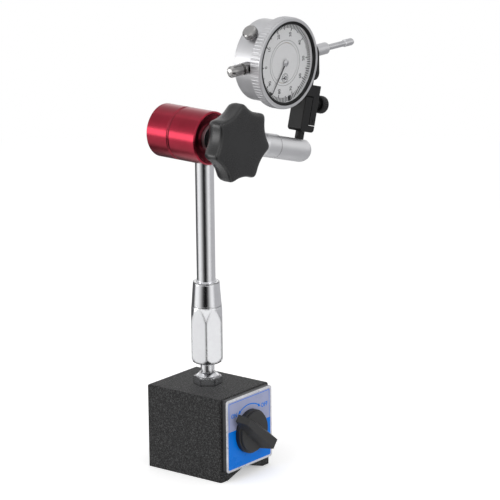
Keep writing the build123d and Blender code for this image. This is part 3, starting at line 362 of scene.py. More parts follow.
def make_finishes(given):
    """Every finish, by the name of the record's material slot or of the print that wears it."""
    return {
        "black_crinkle_paint": crinkle_paint(),
        # satin enamel on the zinc cover plates: charcoal with a faint orange peel
        "grey_paint": surface(
            "charcoal_satin_enamel", "#303032", "#262628", 0.42, 0.05, 1.2, 0.01, edge_wear_and_light_colour="#6a6a6c"),
        # bare silvered polyester film: cold grey border of the label, slightly metallic
        "label_film": surface(
            "silvered_polyester_film", "#f0f0f4", "#c4c5cc", 0.3, 0.05, 2.0, 0.003, metallic=0.25),
        # bright zinc plate on small screws: a thin bluish bloom
        "zinc_plated_steel": surface(
            "zinc_plated_steel", "#c3c6c9", "#a5a9ad", 0.34, 0.08, 0.8, 0.004, metallic=1.0),
        # sintered ferrite: dull charcoal ceramic with fine pores
        "ferrite": surface("sintered_ferrite", "#38383b", "#2a2a2d", 0.62, 0.08, 0.35, 0.02),
        # ground steel: close grinding lines round the spindle and rods
        "ground_steel": surface(
            "ground_steel", "#cfcfd1", "#b8b8bb", 0.27, 0.06, 0.25, 0.002, metallic=1.0, lines_mm=0.3,
            lines_frame=DIAL, lines_axis="X", edge_mm=0.2),
        # moulded phenolic: near-black, with a fine spark-eroded grain that softens its highlights; its rounded
        # edges carry a painted highlight
        "black_plastic": surface(
            "moulded_phenolic", "#222223", "#1c1c1d", 0.28, 0.04, 0.5, 0.012, edge_mm=0.6,
            edge_wear_and_light_colour="#363637", edge_wear_and_light_strength=0.4),
        # the same moulding with a blasted, duller skin on the switch knob
        "matt_black_plastic": surface(
            "blasted_phenolic", "#161617", "#111112", 0.5, 0.04, 0.4, 0.015, edge_mm=0.5,
            edge_wear_and_light_colour="#3a3a3b"),
        # polished black moulding of the dial's inner ring: deep black with little glare
        "gloss_black_plastic": surface(
            "polished_black_moulding", "#0e0e0f", "#0b0b0c", 0.3, 0.03, 1.0, 0.002, edge_mm=0.2,
            Specular_IOR_Level=0.2),
        # bright chrome over polished steel: a mirror whose buffed corners carry a painted dark reflection
        "chromed_steel": surface(
            "polished_chrome_plate", "#ecedef", "#e6e6e9", 0.06, 0.015, 2.5, 0.0006, metallic=1.0,
            edge_mm=2.2, edge_wear_and_light_colour="#303032", edge_wear_and_light_strength=2.4),
        # clear dyed anodising on turned aluminium: deep red metal with tight lathe lines, a painted pink highlight
        # on its rounded edges and painted shade in its recess
        "red_anodised_aluminium": surface(
            "red_anodised_aluminium", "#a02339", "#901d30", 0.25, 0.02, 0.4, 0.001, metallic=1.0,
            lines_mm=0.5, lines_frame=CLAMP, edge_wear_and_light_colour="#e07682", edge_wear_and_light_strength=0.9, crevice_shade_mm=9.0,
            crevice_shade_colour="#2c0e13", Coat_Weight=0.22, Coat_Roughness=0.22),
        # satin chrome over fine turning marks: soft silver that spreads each reflection, with painted shade in its
        # crevices
        "satin_chromed_steel": surface(
            "satin_chrome_plate", "#cdcdcf", "#c3c3c5", 0.42, 0.04, 0.3, 0.0012, metallic=1.0,
            lines_mm=0.5, lines_frame=DIAL, crevice_shade_mm=0.9, crevice_shade_colour="#58585a"),
        # chrome over a bead-blasted turning: even pale grey, no mirror left, with painted shade in its crevices
        "blasted_chrome": surface(
            "blasted_chrome_plate", "#dadadc", "#d2d2d4", 0.46, 0.03, 0.25, 0.004, metallic=1.0,
            edge_mm=0.3, crevice_shade_mm=1.2, crevice_shade_colour="#303031"),
        # polished nickel on the small knobs: crisp, darker reflections, with painted shade in its crevices
        "polished_nickel": surface(
            "polished_nickel_plate", "#a9a8a7", "#9b9a99", 0.17, 0.03, 0.6, 0.001, metallic=1.0,
            edge_mm=0.4, crevice_shade_mm=1.6, crevice_shade_colour="#2a2a2b"),
        # blacked steel: dark oxide film with an oily sheen, rubbed a little paler along its corners
        "black_oxide_steel": surface(
            "black_oxide_steel", "#171718", "#121213", 0.44, 0.05, 0.5, 0.006, metallic=0.1, edge_mm=0.3,
            edge_wear_and_light_colour="#3c3c3e", Specular_IOR_Level=0.3),
        # rolled brass with a light lacquer: warm and a little dull
        "brass": surface("lacquered_brass", "#c9a253", "#b08a3e", 0.3, 0.06, 0.5, 0.002, metallic=1.0),
        # hardened spring wire: drawn grey steel with a soft shine
        "spring_steel": surface("spring_steel", "#8c8c90", "#747478", 0.3, 0.06, 0.3, 0.002, metallic=1.0),
        # matt dial enamel: cool grey-white with a soft tooth
        "white_dial_enamel": surface(
            "white_dial_enamel", "#f2f2f3", "#eeeeef", 0.5, 0.04, 0.5, 0.002, edge_mm=0.05),
        # matt lacquer on the hands and markers: even black
        "black_enamel": surface(
            "black_hand_lacquer", "#1c1c1d", "#161617", 0.45, 0.05, 0.3, 0.002, edge_mm=0.04),
        "clear_crystal": acrylic_crystal(),
        # screen-printed ink on the dials: a satin black film
        "dial_ink": surface("black_dial_ink", "#18181a", "#18181a", 0.5, 0.05, 0.3, 0.004, edge_mm=0.02),
        # moulded spacer under the crystal: clean matt white
        "white_plastic": surface(
            "white_spacer_moulding", "#f2f2f3", "#ececee", 0.45, 0.04, 0.6, 0.003, edge_mm=0.05),
        "pale_field": label_ink("pale_label_print", given.pale),
        "blue_field": label_ink("blue_label_print", given.blue),
    }


# Pieces whose own finish differs from the rest of their material slot
OWN_FINISH = {
    "slotted_socket": "blasted_chrome", "spindle_cap": "polished_nickel",
    "bezel_clamp_screw": "polished_nickel", "bezel_insert": "gloss_black_plastic",
    "switch_knob": "matt_black_plastic",
}
FINISHES = {}


# Making pieces

def new_object(name, data):
    """Object of some data, linked to the scene."""
    made = bpy.data.objects.new(name, data)
    bpy.context.scene.collection.objects.link(made)
    return made


def finish_piece(name, mesh, body, finish, matrix):
    """Places a mesh by the matrix of its frame and lets it ride on its body."""
    mesh.transform(matrix)
    mesh.name = name
    made = new_object(name, mesh)
    mesh.materials.clear()
    mesh.materials.append(FINISHES[finish])
    for polygon in mesh.polygons:
        polygon.material_index = 0
    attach(made, body)
    return made


def plain_mesh(source):
    """Plain mesh of an object with its modifiers, after which the object is deleted."""
    bpy.context.view_layer.update()
    graph = bpy.context.evaluated_depsgraph_get()
    mesh = bpy.data.meshes.new_from_object(source.evaluated_get(graph), depsgraph=graph)
    bpy.data.objects.remove(source)
    return mesh


def built_mesh(build, name):
    """Mesh of a bmesh, which is freed."""
    mesh = bpy.data.meshes.new(name)
    build.to_mesh(mesh)
    build.free()
    return mesh


def ring_tree(name, bar_kind):
    """Geometry Nodes tree that stands bars, or round ridges, in a ring about Z."""
    tree = bpy.data.node_groups.new(name, "GeometryNodeTree")
    tree.interface.new_socket("Geometry", in_out="OUTPUT", socket_type="NodeSocketGeometry")
    for label, kind, default in (
        ("Count", "Int", 12), ("Radius", "Float", 10 * MM), ("Bar Length", "Float", 2 * MM),
        ("Bar Width", "Float", 0.4 * MM), ("Bar Depth", "Float", 0.1 * MM), ("Level", "Float", 0),
        ("Start Angle", "Float", 0), ("Material", "Material", None),
    ):
        socket = tree.interface.new_socket(label, in_out="INPUT", socket_type="NodeSocket" + kind)
        if default:
            socket.default_value = default
    given = add_node(tree, "NodeGroupInput")
    ring = add_node(
        tree, "GeometryNodeMeshCircle", fill_type="NONE", Vertices=(given, "Count"),
        Radius=(given, "Radius"))
    if bar_kind == "flat":
        size = add_node(
            tree, "ShaderNodeCombineXYZ", X=(given, "Bar Length"), Y=(given, "Bar Width"),
            Z=(given, "Bar Depth"))
        bar = add_node(tree, "GeometryNodeMeshCube", Size=(size, "Vector"))
    else:
        half = add_node(tree, "ShaderNodeMath", operation="MULTIPLY", _0=(given, "Bar Width"), _1=0.5)
        bar = add_node(
            tree, "GeometryNodeMeshCylinder", Vertices=12, Radius=(half, "Value"),
            Depth=(given, "Bar Length"))
    place = add_node(tree, "GeometryNodeInputPosition")
    facing = add_node(
        tree, "FunctionNodeAlignRotationToVector", axis="X", pivot_axis="Z", Vector=(place, "Position"))
    copies = add_node(
        tree, "GeometryNodeInstanceOnPoints", Points=(ring, "Mesh"), Instance=(bar, "Mesh"),
        Rotation=(facing, "Rotation"))
    rise = add_node(tree, "ShaderNodeCombineXYZ", Z=(given, "Level"))
    turn = add_node(tree, "ShaderNodeCombineXYZ", Z=(given, "Start Angle"))
    moved = add_node(
        tree, "GeometryNodeTransform", Geometry=(copies, "Instances"), Translation=(rise, "Vector"),
        Rotation=(turn, "Vector"))
    solid = add_node(tree, "GeometryNodeRealizeInstances", Geometry=(moved, "Geometry"))
    dressed = add_node(
        tree, "GeometryNodeSetMaterial", Geometry=(solid, "Geometry"), Material=(given, "Material"))
    add_node(tree, "NodeGroupOutput", Geometry=(dressed, "Geometry"))
    return tree


def ring_mesh(bar_kind, finish, **values):
    """Plain mesh of one ring of bars or ridges."""
    name = "ring_of_flat_bars" if bar_kind == "flat" else "ring_of_round_ridges"
    tree = bpy.data.node_groups.get(name) or ring_tree(name, bar_kind)
    holder = new_object("ring", bpy.data.meshes.new("ring"))
    modifier = holder.modifiers.new("Ring", "NODES")
    modifier.node_group = tree
    values["Material"] = FINISHES[finish]
    for socket in tree.interface.items_tree:
        label = socket.name.replace(" ", "_")
        if label in values:
            modifier[socket.identifier] = values[label]
    return plain_mesh(holder)


def joined(meshes):
    """One mesh from several."""
    build = bmesh.new()
    for mesh in meshes:
        build.from_mesh(mesh)
    return built_mesh(build, "joined")


def text_mesh(text, size, depth, matrix, bold):
    """Flat raised lettering, centred on a frame's origin, reading along its X."""
    curve = bpy.data.curves.new("text", "FONT")
    curve.body = text
    curve.size = size
    curve.align_x = curve.align_y = "CENTER"
    curve.extrude = depth / 2
    curve.offset = bold
    curve.resolution_u = 3
    mesh = plain_mesh(new_object("text", curve))
    mesh.transform(matrix @ Matrix.Translation((0, 0, depth / 2)))
    return mesh


def sheet_mesh(outlines, depth, level=0):
    """Flat sheet, with holes where one outline lies inside another, standing up from a level."""
    curve = bpy.data.curves.new("sheet", "CURVE")
    curve.dimensions = "2D"
    curve.fill_mode = "BOTH"
    curve.extrude = depth / 2
    for outline in outlines:
        spline = curve.splines.new("POLY")
        spline.points.add(len(outline) - 1)
        for point, (x, y) in zip(spline.points, outline):
            point.co = (x, y, 0, 1)
        spline.use_cyclic_u = True
    mesh = plain_mesh(new_object("sheet", curve))
    mesh.transform(Matrix.Translation((0, 0, level + depth / 2)))
    return mesh


def lofted_mesh(rows, name):
    """Smooth closed shape through rows of points about Z; a row of one point closes an end, a longer one at
    an end is closed by a flat face."""
    build = bmesh.new()
    rings = [[build.verts.new(point) for point in row] for row in rows]
    for low, high in zip(rings, rings[1:]):
        for n in range(max(len(low), len(high))):
            m = n + 1
            corners = (low[n % len(low)], low[m % len(low)], high[m % len(high)], high[n % len(high)])
            build.faces.new(list(dict.fromkeys(corners)))
    for ring in (rings[-1], rings[0][::-1]):
        if len(ring) > 1:
            build.faces.new(ring)
    bmesh.ops.recalc_face_normals(build, faces=build.faces)
    mesh = built_mesh(build, name)
    for polygon in mesh.polygons:
        polygon.use_smooth = len(polygon.vertices) <= 4
    return mesh


def polar(radius, angle, centre=(0, 0)):
    """Point at an angle on a circle."""
    return centre[0] + radius * math.cos(angle), centre[1] + radius * math.sin(angle)


def circle_points(radius, count=48):
    """Points of a circle."""
    return [polar(radius, 2 * math.pi * n / count) for n in range(count)]


def arc_points(radius, first, last, steps, centre=(0, 0)):
    """Points of an arc, with both its ends."""
    return [polar(radius, first + (last - first) * n / steps, centre) for n in range(steps + 1)]


def corner_points(x, y, corner):
    """Points of a rectangle's rounded corners, from pairs of limits: those of its top, and of its bottom."""
    left, right, bottom, top = x[0] + corner, x[1] - corner, y[0] + corner, y[1] - corner
    arcs = [
        arc_points(corner, n * math.pi / 2, (n + 1) * math.pi / 2, 6, centre)
        for n, centre in enumerate(((right, top), (left, top), (left, bottom), (right, bottom)))
    ]
    return arcs[0] + arcs[1], arcs[2] + arcs[3]


class FinishOperator(bpy.types.Operator):
    """Gives every CAD piece the finish of its material slot."""
    bl_idname = "stand.finish_pieces"
    bl_label = "Finish the pieces"

    def execute(self, context):
        FINISHES.update(make_finishes(context.scene.stand_print))
        for part in frame["record"]["subparts"]:
            finish = FINISHES[OWN_FINISH.get(part["node"], part["material_slot"])]
            for entry in NODES[part["node"]].material_slots:
                entry.material = finish
        return {"FINISHED"}


class LabelOperator(bpy.types.Operator):
    """Prints the label: a pale and a blue field, a thin line, the turning arrow and the two switch words."""
    bl_idname = "stand.print_label"
    bl_label = "Print the label"

    def execute(self, context):
        given = context.scene.stand_print
        low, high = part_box("label_plate")
        face = Matrix.Translation((0, low.y, 0)) @ Matrix.Rotation(math.pi / 2, 4, "X")
        centre = (0, joint_point("switch_turn").z)
        split, corner = given.field_split, 1.2 * MM
        left, right = low.x + given.field_margin, high.x - given.field_margin
        top = corner_points((left, right), (split, high.z - given.field_margin), corner)[0]
        bottom = corner_points((left, right), (low.z + given.field_margin, split), corner)[1]
        # both fields end at a round opening for the knob, which crosses their common border at two points
        opening = 11 * MM
        reach = math.sqrt(opening ** 2 - (split - centre[1]) ** 2)
        start = math.asin((split - centre[1]) / opening)
        above = arc_points(opening, math.pi - start, start, 20, centre)[1:-1]
        below = arc_points(opening, start, -math.pi - start, 28, centre)[1:-1]
        upper = [(left, split), (-reach, split)] + above + [(reach, split), (right, split)] + top
        lower = [(right, split), (reach, split)] + below + [(-reach, split), (left, split)] + bottom
        pale = sheet_mesh([upper], given.ink_depth)
        finish_piece("label_pale_field", pale, "base", "pale_field", face)
        raised = 2 * given.ink_depth
        blue = [
            sheet_mesh([lower], given.ink_depth), self.thin_line(given, low, high, corner, raised),
            self.arrow(centre, raised),
        ]
        word_radius, word_size = 20.6 * MM, 3.9 * MM
        for text, degrees in (("ON", 139), ("OFF", 41)):
            spot = Matrix.Translation((*polar(word_radius, math.radians(degrees), centre), 0))
            blue.append(text_mesh(text, word_size, raised, spot, bold=0.08 * MM))
        finish_piece("label_blue_print", joined(blue), "base", "blue_field", face)
        return {"FINISHED"}

    def thin_line(self, given, low, high, corner, depth):
        """Thin line that follows the upper field's edge."""
        outline = []
        for inset, radius in (
            (given.line_inset, corner), (given.line_inset + given.line_width, 0.8 * corner),
        ):
            left, right = low.x + inset, high.x - inset
            top = corner_points((left, right), (given.field_split, high.z - inset), radius)[0]
            edge = [(right, given.field_split)] + top + [(left, given.field_split)]
            outline += edge[::-1] if outline else edge
        return sheet_mesh([outline], depth)

    def arrow(self, centre, depth):
        """Curved arrow with a head at each end, above the knob."""
        radius, half_width, flare = 17.6 * MM, 0.375 * MM, 1.25 * MM
        first, last, head = math.radians(58), math.radians(122), math.radians(9)
        outline = []
        for side, start, end in ((1, first, last), (-1, last, first)):
            outline += arc_points(radius + side * half_width, start, end, 20, centre)
            outline += [
                polar(radius + side * flare, end, centre), polar(radius, end + side * head, centre),
                polar(radius - side * flare, end, centre),
            ]
        return sheet_mesh([outline], depth)


class DialPrintOperator(bpy.types.Operator):
    """Prints the turning dial's divisions and numbers and the small revolution dial, and adds the spacer
    between dial and crystal."""
    bl_idname = "stand.print_dial"
    bl_label = "Print the dial"

    def execute(self, context):
        given = context.scene.stand_dial
        depth = context.scene.stand_print.ink_depth
        face = local_box("dial_ring", DIAL)[1].z
        marks = []
        outer = given.outer_radius
        for count, length in (
            (given.divisions, given.short_length), (given.divisions // 5, given.step_length),
            (given.divisions // 10, given.step_length),
        ):
            # a hair of overlap joins a long mark's lengths
            marks.append(ring_mesh(
                "flat", "dial_ink", Count=count, Radius=outer - length / 2, Bar_Length=length + 0.02 * MM,
                Bar_Width=given.mark_width, Bar_Depth=depth, Level=face + depth / 2))
            outer -= length
        for n in range(10):
            marks.append(self.number(
                10 * n, 180 - 36 * n, face, depth, given.number_radius, given.number_size, bold=0.05 * MM))
        circle = [circle_points(given.circle_radius - width, 120) for width in (0, 0.2 * MM)]
        marks.append(sheet_mesh(circle, depth, face))
        finish_piece("dial_divisions", joined(marks), "bezel", "dial_ink", DIAL)

        # moulded ring between dial and crystal, with a little air above and below
        gap, outside, inside = 0.05 * MM, 26.12 * MM, 25.95 * MM
        bottom, top = face + gap, local_box("crystal", DIAL)[0].z - gap
        spacer = sheet_mesh([circle_points(outside, 96), circle_points(inside, 96)], top - bottom, bottom)
        finish_piece("crystal_spacer", spacer, "bezel", "white_plastic", DIAL)

        # revolution dial: ten marks inside a thin rim, with every second number
        rim, rim_width = 3.05 * MM, 0.22 * MM
        small = [
            ring_mesh(
                "flat", "dial_ink", Count=10, Radius=2.55 * MM, Bar_Length=0.6 * MM, Bar_Width=0.26 * MM,
                Bar_Depth=depth),
            sheet_mesh([circle_points(rim), circle_points(rim - rim_width)], depth),
        ]
        for n in range(0, 10, 2):
            small.append(self.number(
                n, 180 + 36 * n, -depth / 2, depth, radius=1.7 * MM, size=0.95 * MM, bold=0.02 * MM))
        hub = DIAL.inverted() @ joint_point("small_hand_turn")
        lift = Matrix.Translation((hub.x, hub.y, local_box("dial_centre", DIAL)[1].z + depth / 2))
        finish_piece("small_dial_print", joined(small), "dial", "dial_ink", DIAL @ lift)
        return {"FINISHED"}

    def number(self, value, degrees, level, depth, radius, size, bold):
        """Number that stands upright when the spindle points straight down."""
        spot = Matrix.Translation((*polar(radius, math.radians(degrees)), level))
        return text_mesh(str(value), size, depth, spot @ Matrix.Rotation(math.pi / 2, 4, "Z"), bold)


class HandOperator(bpy.types.Operator):
    """Makes the long tapered hand and caps both hands with their turned bosses."""
    bl_idname = "stand.make_hands"
    bl_label = "Make the hands"

    def execute(self, context):
        low, high = local_box("main_pointer", DIAL)
        tip = max(local_points("main_pointer", DIAL), key=lambda point: point.xy.length)
        length = tip.xy.length
        root, point = 0.5 * MM, 0.18 * MM
        blade = [(0, -root), (length - point, -point), (length, 0), (length - point, point), (0, root)]
        hand = sheet_mesh([blade], high.z - low.z, low.z)
        turn = Matrix.Rotation(math.atan2(tip.y, tip.x), 4, "Z")
        hand = finish_piece(
            "main_hand_blade", hand, "main_hand", "black_enamel", DIAL @ turn)
        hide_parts("main_pointer")
        # radius and height of a boss, as shares of its full radius
        profile = ((0, 0), (1, 0), (1, 0.14), (0.86, 0.22), (0.45, 0.22), (0.4, 0.27), (0, 0.27))
        for node, body, radius in (
            ("main_pointer", "main_hand", 2.3 * MM), ("small_pointer", "small_hand", 0.75 * MM),
        ):
            rows = [
                [(*spot, radius * height) for spot in circle_points(radius * share, 32 if share else 1)]
                for share, height in profile
            ]
            centre = DIAL.inverted() @ joint_point(body + "_turn")
            lift = Matrix.Translation((centre.x, centre.y, local_box(node, DIAL)[1].z))
            boss = lofted_mesh(rows, "boss")
            finish_piece(body + "_boss", boss, body, "ground_steel", DIAL @ lift)
        return {"FINISHED"}


class StarOperator(bpy.types.Operator):
    """Moulds the star knob with wide hollows, soft points and a gently crowned front."""
    bl_idname = "stand.mould_star"
    bl_label = "Mould the star knob"

    def execute(self, context):
        given = context.scene.stand_star
        low, high = local_box("star_knob", CLAMP)
        hub, core = 8.5 * MM, given.radius - given.hollow_depth
        thickness = 14.2
        # share of the outline's size, how much of the star shows, and millimetres behind the front
        profile = (
            (0.78, 0.8, thickness), (0.87, 0.95, 13.5), (0.94, 1.0, 12.2), (0.98, 1.0, 10.2),
            (1.0, 1.0, 7.5), (1.0, 1.0, 2.4), (0.994, 1.0, 1.6), (0.98, 1.0, 1.0), (0.96, 1.0, 0.6),
            (0.93, 1.0, 0.35), (0.86, 0.95, 0.18), (0.65, 0.6, 0.04), (0.3, 0.2, 0.0),
        )
        outline = self.outline(given, given.points * 24)
        turns = [2 * math.pi * n / len(outline) for n in range(len(outline))]
        rows = [[(*polar(hub, t), z) for t in turns] for z in (low.z, high.z - thickness * MM)]
        for share, shown, depth in profile:
            rows.append([
                (*polar(share * (core + shown * (radius - core)), t), high.z - depth * MM)
                for radius, t in zip(outline, turns)
            ])
        star = lofted_mesh(rows, "star")
        star = finish_piece("star_knob_moulding", star, "knob", "black_plastic", CLAMP)
        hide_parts("star_knob")
        return {"FINISHED"}

    def outline(self, given, steps):
        """Radius at each angle: the points' circle, cut by the hollows' arcs, with its corners softened."""
        centre = given.radius - given.hollow_depth + given.hollow_radius
        pitch = 2 * math.pi / given.points
        sharp = []
        for n in range(steps):
            angle = (2 * math.pi * n / steps - given.turn) % pitch - pitch / 2
            across = given.hollow_radius ** 2 - (centre * math.sin(angle)) ** 2
            hollow = centre * math.cos(angle) - math.sqrt(across) if across > 0 else given.radius
            sharp.append(min(given.radius, hollow))
        near = range(-2, 3)
        return [sum(sharp[(n + k) % steps] for k in near) / len(near) for n in range(steps)]


class KnurlOperator(bpy.types.Operator):
    """Adds the flutes round the bezel and the knurled screw heads."""
    bl_idname = "stand.knurl"
    bl_label = "Knurl the bezel and screws"

    def execute(self, context):
        given = context.scene.stand_knurl
        # flutes: count, height, how deep they are rooted and length; then the share of the piece's depth at
        # which their middle lies and its distance from there, with lengths in millimetres
        for node, name, body, slot, finish, matrix, count, proud, sunk, length, share, shift in (
            ("bezel", "bezel_flutes", "bezel", "satin_chromed_steel", "satin_chromed_steel", DIAL,
             given.bezel_count, given.height, 0.6, 6.2, 0.5, -0.2),
            ("adjusting_screw", "adjusting_screw_flutes", "adjuster_screw", "black_oxide_steel",
             "black_oxide_steel", ADJUSTER, given.screw_count, given.height, 0.1, 4.6, 1, -3.0),
            ("bezel_clamp_screw", "clamp_screw_flutes", "clamp_screw", "satin_chromed_steel",
             "polished_nickel", CLAMP_SCREW, given.screw_count - 4, 0.8 * given.height, 0.25, 2.6, 1, -2.9),
        ):
            low, high = local_box(node, matrix)
            flutes = ring_mesh(
                "round", finish, Count=count, Radius=high.x - sunk * MM, Bar_Length=length * MM,
                Bar_Width=2 * (proud + sunk * MM), Level=low.z + share * (high.z - low.z) + shift * MM)
            finish_piece(name, flutes, body, finish, matrix)
        return {"FINISHED"}


class ScrewSlotOperator(bpy.types.Operator):
    """Paints the driver slots of the screws in the rear cover and in the dial's back as thin black bars: painted
    shade where each recessed slot would be.
    """
    bl_idname = "stand.slot_screws"
    bl_label = "Slot the screws"

    def execute(self, context):
        low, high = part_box("rear_cover")
        middle = Vector((0, high.y, joint_point("switch_turn").z))
        rear = placed(middle, Vector((1, 0, 0)), Vector((0, 1, 0)))
        back = local_box("back_cover_screws", DIAL)[0].z
        # radius of the screws' circle, length and width of a slot in millimetres, and its level
        for name, body, matrix, circle, length, width, level in (
            ("rear_screw_slots", "base", rear, 19, 4.4, 0.8, 0.03 * MM),
            ("back_screw_slots", "dial", DIAL, 24, 2.4, 0.5, back - 0.02 * MM),
        ):
            # painted shade: a flat black bar on each screw head stands in for the shade inside its slot
            slots = ring_mesh(
                "flat", "black_enamel", Count=4, Radius=circle * MM, Bar_Length=length * MM,
                Bar_Width=width * MM, Bar_Depth=0.06 * MM, Level=level, Start_Angle=math.radians(45))
            finish_piece(name, slots, body, "black_enamel", matrix)
        return {"FINISHED"}


def seen_share(tree):
    """Light path node, and 1 for a ray that reaches the camera straight, mirrored or through a pane."""
    path = add_node(tree, "ShaderNodeLightPath")
    seen = (path, "Is Camera Ray")
    for ray in ("Is Glossy Ray", "Is Transmission Ray"):
        seen = (add_node(tree, "ShaderNodeMath", operation="MAXIMUM", _0=seen, _1=(path, ray)), "Value")
    return path, seen


class StageOperator(bpy.types.Operator):
    """Sets the pale floor, the soft lamps, the dark cards that chrome reflects, and the camera."""
    bl_idname = "stand.set_stage"
    bl_label = "Set the stage"

    def execute(self, context):
        scene = context.scene
        given = scene.stand_studio
        scene.view_settings.view_transform = "Standard"
        self.floor()
        self.world(scene)
        a, e, r = given.azimuth, given.elevation, given.roll
        back = Vector((math.sin(a) * math.cos(e), -math.cos(a) * math.cos(e), math.sin(e)))
        right = (-back).cross(Vector((0, 0, 1))).normalized()
        up = right.cross(-back)
        side = right * math.cos(r) + up * math.sin(r)
        top = up * math.cos(r) - right * math.sin(r)
        lens = bpy.data.cameras.new("camera")
        lens.lens = given.focal_length
        lens.sensor_width = 36
        lens.clip_end = 20
        camera = new_object("camera", lens)
        pose = Matrix((side, top, back)).transposed().to_4x4()
        pose.translation = side * given.slide[0] + top * given.slide[1] + back * given.distance
        camera.matrix_world = pose
        scene.camera = camera
        # turns are in degrees to the right of the camera, seen from the object, and lengths in metres;
        # strength is a lamp's own brightness
        facing = math.atan2(back.y, back.x)
        self.lamp("left_softbox", facing, turn=-83, reach=1.3, height=0.22, size=(0.62, 0.5), strength=3.0)
        self.lamp(
            "high_left_softbox", facing, turn=-38, reach=1.6, height=1.35, size=(1.4, 1.2), strength=1.2)
        self.lamp("right_softbox", facing, turn=52, reach=1.9, height=0.95, size=(1.2, 1.0), strength=1.3)
        self.lamp("top_softbox", facing, turn=180, reach=0.15, height=2.1, size=(2.4, 2.2), strength=0.55)
        self.card("front_flag", facing, turns=(-74, -16, 4, 44), start=0.17, colour="#19191a")
        self.card("right_flag", facing, turns=(58, 66, 176, 180), start=0.2, colour="#bcbcbe")
        self.card("rear_left_flag", facing, turns=(-184, -176, -112, -96), start=0.2, colour="#59595b")
        self.ceiling()
        return {"FINISHED"}

    def floor(self):
        """Large pale floor: lit and shadowed near the object, plain white further out."""
        build = bmesh.new()
        bmesh.ops.create_grid(build, x_segments=1, y_segments=1, size=9)
        floor = new_object("floor", built_mesh(build, "floor"))
        made, tree = new_material("pale_studio_floor")
        shader = add_node(
            tree, "ShaderNodeBsdfPrincipled", Base_Color=linear("#f7f7f7"), Roughness=0.9,
            Specular_IOR_Level=0.0)
        path, seen = seen_share(tree)
        strength = add_node(
            tree, "ShaderNodeMapRange", Value=(path, "Is Camera Ray"), To_Min=0.2, To_Max=0.42)
        lift = add_node(tree, "ShaderNodeEmission", Strength=(strength, "Result"))
        near = add_node(tree, "ShaderNodeAddShader", _0=(shader, "BSDF"), _1=(lift, "Emission"))
        far = add_node(tree, "ShaderNodeEmission")
        reach = add_node(tree, "ShaderNodeVectorMath", operation="LENGTH", _0=object_coordinates(tree))
        fade = add_node(tree, "ShaderNodeMapRange", Value=(reach, "Value"), From_Min=0.3, From_Max=1.0)
        pale = add_node(
            tree, "ShaderNodeMixShader", _0=(fade, "Result"), _1=(near, "Shader"), _2=(far, "Emission"))
        mix = add_node(tree, "ShaderNodeMixShader", _0=seen, _1=(shader, "BSDF"), _2=(pale, "Shader"))
        add_node(tree, "ShaderNodeOutputMaterial", Surface=(mix, "Shader"))
        floor.data.materials.append(made)

    def world(self, scene):
        """Even soft light, seen as white by the camera and in metal."""
        scene.world = bpy.data.worlds.new("studio")
        scene.world.use_nodes = True
        tree = scene.world.node_tree
        tree.nodes.clear()
        seen = seen_share(tree)[1]
        dim = add_node(tree, "ShaderNodeBackground", Color=linear("#ffffff"), Strength=0.5)
        white = add_node(tree, "ShaderNodeBackground", Color=linear("#ffffff"))
        mix = add_node(tree, "ShaderNodeMixShader", _0=seen, _1=(dim, "Background"), _2=(white, "Background"))
        add_node(tree, "ShaderNodeOutputWorld", Surface=(mix, "Shader"))

    def lamp(self, name, facing, turn, reach, height, size, strength):
        """Rectangular softbox of a given brightness that faces the middle of the object."""
        data = bpy.data.lights.new(name, "AREA")
        data.shape = "RECTANGLE"
        data.size, data.size_y = size
        data.energy = strength * math.pi * size[0] * size[1]
        lamp = new_object(name, data)
        lamp.location = (*polar(reach, facing + math.radians(turn)), height)
        target = Vector((0.03, 0, 0.17))
        lamp.rotation_euler = (target - lamp.location).to_track_quat("-Z", "Y").to_euler()
        lamp.visible_camera = False

    def card(self, name, facing, turns, start, colour):
        """Sector of a shallow bowl that only metal reflects, solid between its two middle turns and fading
        towards its outer ones; upright polished pieces mirror the floor, so it starts there."""
        first, full, still, last = [math.radians(turn) for turn in turns]
        steps = 24
        build = bmesh.new()
        rows = []
        # from just above the floor, near the object, to a slightly raised rim far out
        for radius, height in ((start, 0.004), (2.4, 0.14)):
            arc = arc_points(radius, facing + first, facing + last, steps)
            rows.append([build.verts.new((*point, height)) for point in arc])
        near, far = rows
        for n in range(steps):
            build.faces.new((near[n], near[n + 1], far[n + 1], far[n]))
        made, tree = new_material(name)
        turned = add_node(
            tree, "ShaderNodeVectorRotate", rotation_type="Z_AXIS", Vector=object_coordinates(tree),
            Angle=-facing - (first + last) / 2)
        split = add_node(tree, "ShaderNodeSeparateXYZ", Vector=(turned, "Vector"))
        angle = add_node(tree, "ShaderNodeMath", operation="ARCTAN2", _0=(split, "Y"), _1=(split, "X"))
        half = (last - first) / 2
        shares = [
            add_node(
                tree, "ShaderNodeMapRange", interpolation_type="SMOOTHSTEP", Value=(angle, "Value"),
                From_Min=edge, From_Max=edge + width)
            for edge, width in ((-half, full - first), (half, still - last))
        ]
        share = add_node(
            tree, "ShaderNodeMath", operation="MULTIPLY", _0=(shares[0], "Result"),
            _1=(shares[1], "Result"))
        self.reflected_only(name, build, made, colour, (share, "Value"))

    def ceiling(self):
        """Pale grey dome overhead that only metal reflects, so that upper faces read darker than sides."""
        build = bmesh.new()
        bmesh.ops.create_icosphere(build, subdivisions=3, radius=3.2)
        made, tree = new_material("grey_ceiling")
        split = add_node(tree, "ShaderNodeSeparateXYZ", Vector=object_coordinates(tree))
        share = add_node(
            tree, "ShaderNodeMapRange", interpolation_type="SMOOTHSTEP", Value=(split, "Z"), From_Min=1.2,
            From_Max=2.0)
        self.reflected_only("ceiling", build, made, "#dadadb", (share, "Result"))

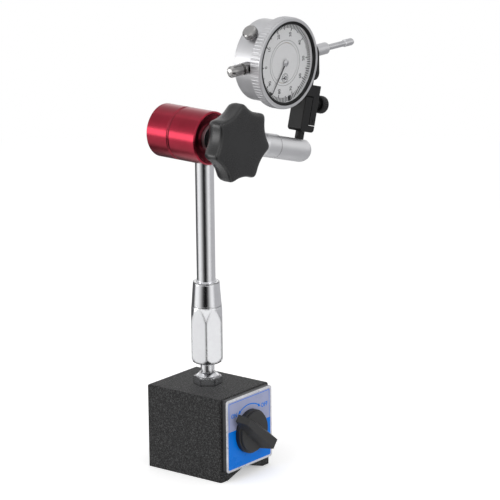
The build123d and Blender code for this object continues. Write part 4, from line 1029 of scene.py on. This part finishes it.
    def reflected_only(self, name, build, made, colour, share):
        """Adds a studio surface that shows in reflections and nowhere else: it glows where its share is 1
        and is clear where it is 0."""
        tree = made.node_tree
        glow = add_node(tree, "ShaderNodeEmission", Color=linear(colour))
        clear = add_node(tree, "ShaderNodeBsdfTransparent")
        mix = add_node(tree, "ShaderNodeMixShader", _0=share, _1=(clear, "BSDF"), _2=(glow, "Emission"))
        add_node(tree, "ShaderNodeOutputMaterial", Surface=(mix, "Shader"))
        card = new_object(name, built_mesh(build, name))
        card.data.materials.append(made)
        for ray in ("camera", "diffuse", "transmission", "shadow", "volume_scatter"):
            setattr(card, "visible_" + ray, False)


class StandPanel(bpy.types.Panel):
    """Sizes, colours and steps of the stand."""
    bl_idname = "VIEW3D_PT_dial_stand"
    bl_label = "Dial Stand"
    bl_space_type = "VIEW_3D"
    bl_region_type = "UI"
    bl_category = "Dial Stand"

    def draw(self, context):
        for group in GROUPS:
            box = self.layout.box()
            settings = getattr(context.scene, group)
            for name in settings.bl_rna.properties.keys():
                if name not in ("rna_type", "name"):
                    box.prop(settings, name)
        for operator in OPERATORS:
            self.layout.operator(operator.bl_idname)


OPERATORS = (
    FinishOperator, StarOperator, LabelOperator, DialPrintOperator, HandOperator, KnurlOperator,
    ScrewSlotOperator, StageOperator,
)


def register():
    for group in GROUPS.values():
        bpy.utils.register_class(group)
    for name, group in GROUPS.items():
        setattr(bpy.types.Scene, name, PointerProperty(type=group))
    for operator in OPERATORS:
        bpy.utils.register_class(operator)
    bpy.utils.register_class(StandPanel)


def unregister():
    bpy.utils.unregister_class(StandPanel)
    for operator in reversed(OPERATORS):
        bpy.utils.unregister_class(operator)
    for name in GROUPS:
        delattr(bpy.types.Scene, name)
    for group in reversed(GROUPS.values()):
        bpy.utils.unregister_class(group)


def main():
    register()
    bpy.ops.stand.finish_pieces()
    bpy.ops.stand.mould_star()
    bpy.ops.stand.print_label()
    bpy.ops.stand.print_dial()
    bpy.ops.stand.make_hands()
    bpy.ops.stand.knurl()
    bpy.ops.stand.slot_screws()
    bpy.ops.stand.set_stage()


if __name__ == "__main__":
    main()
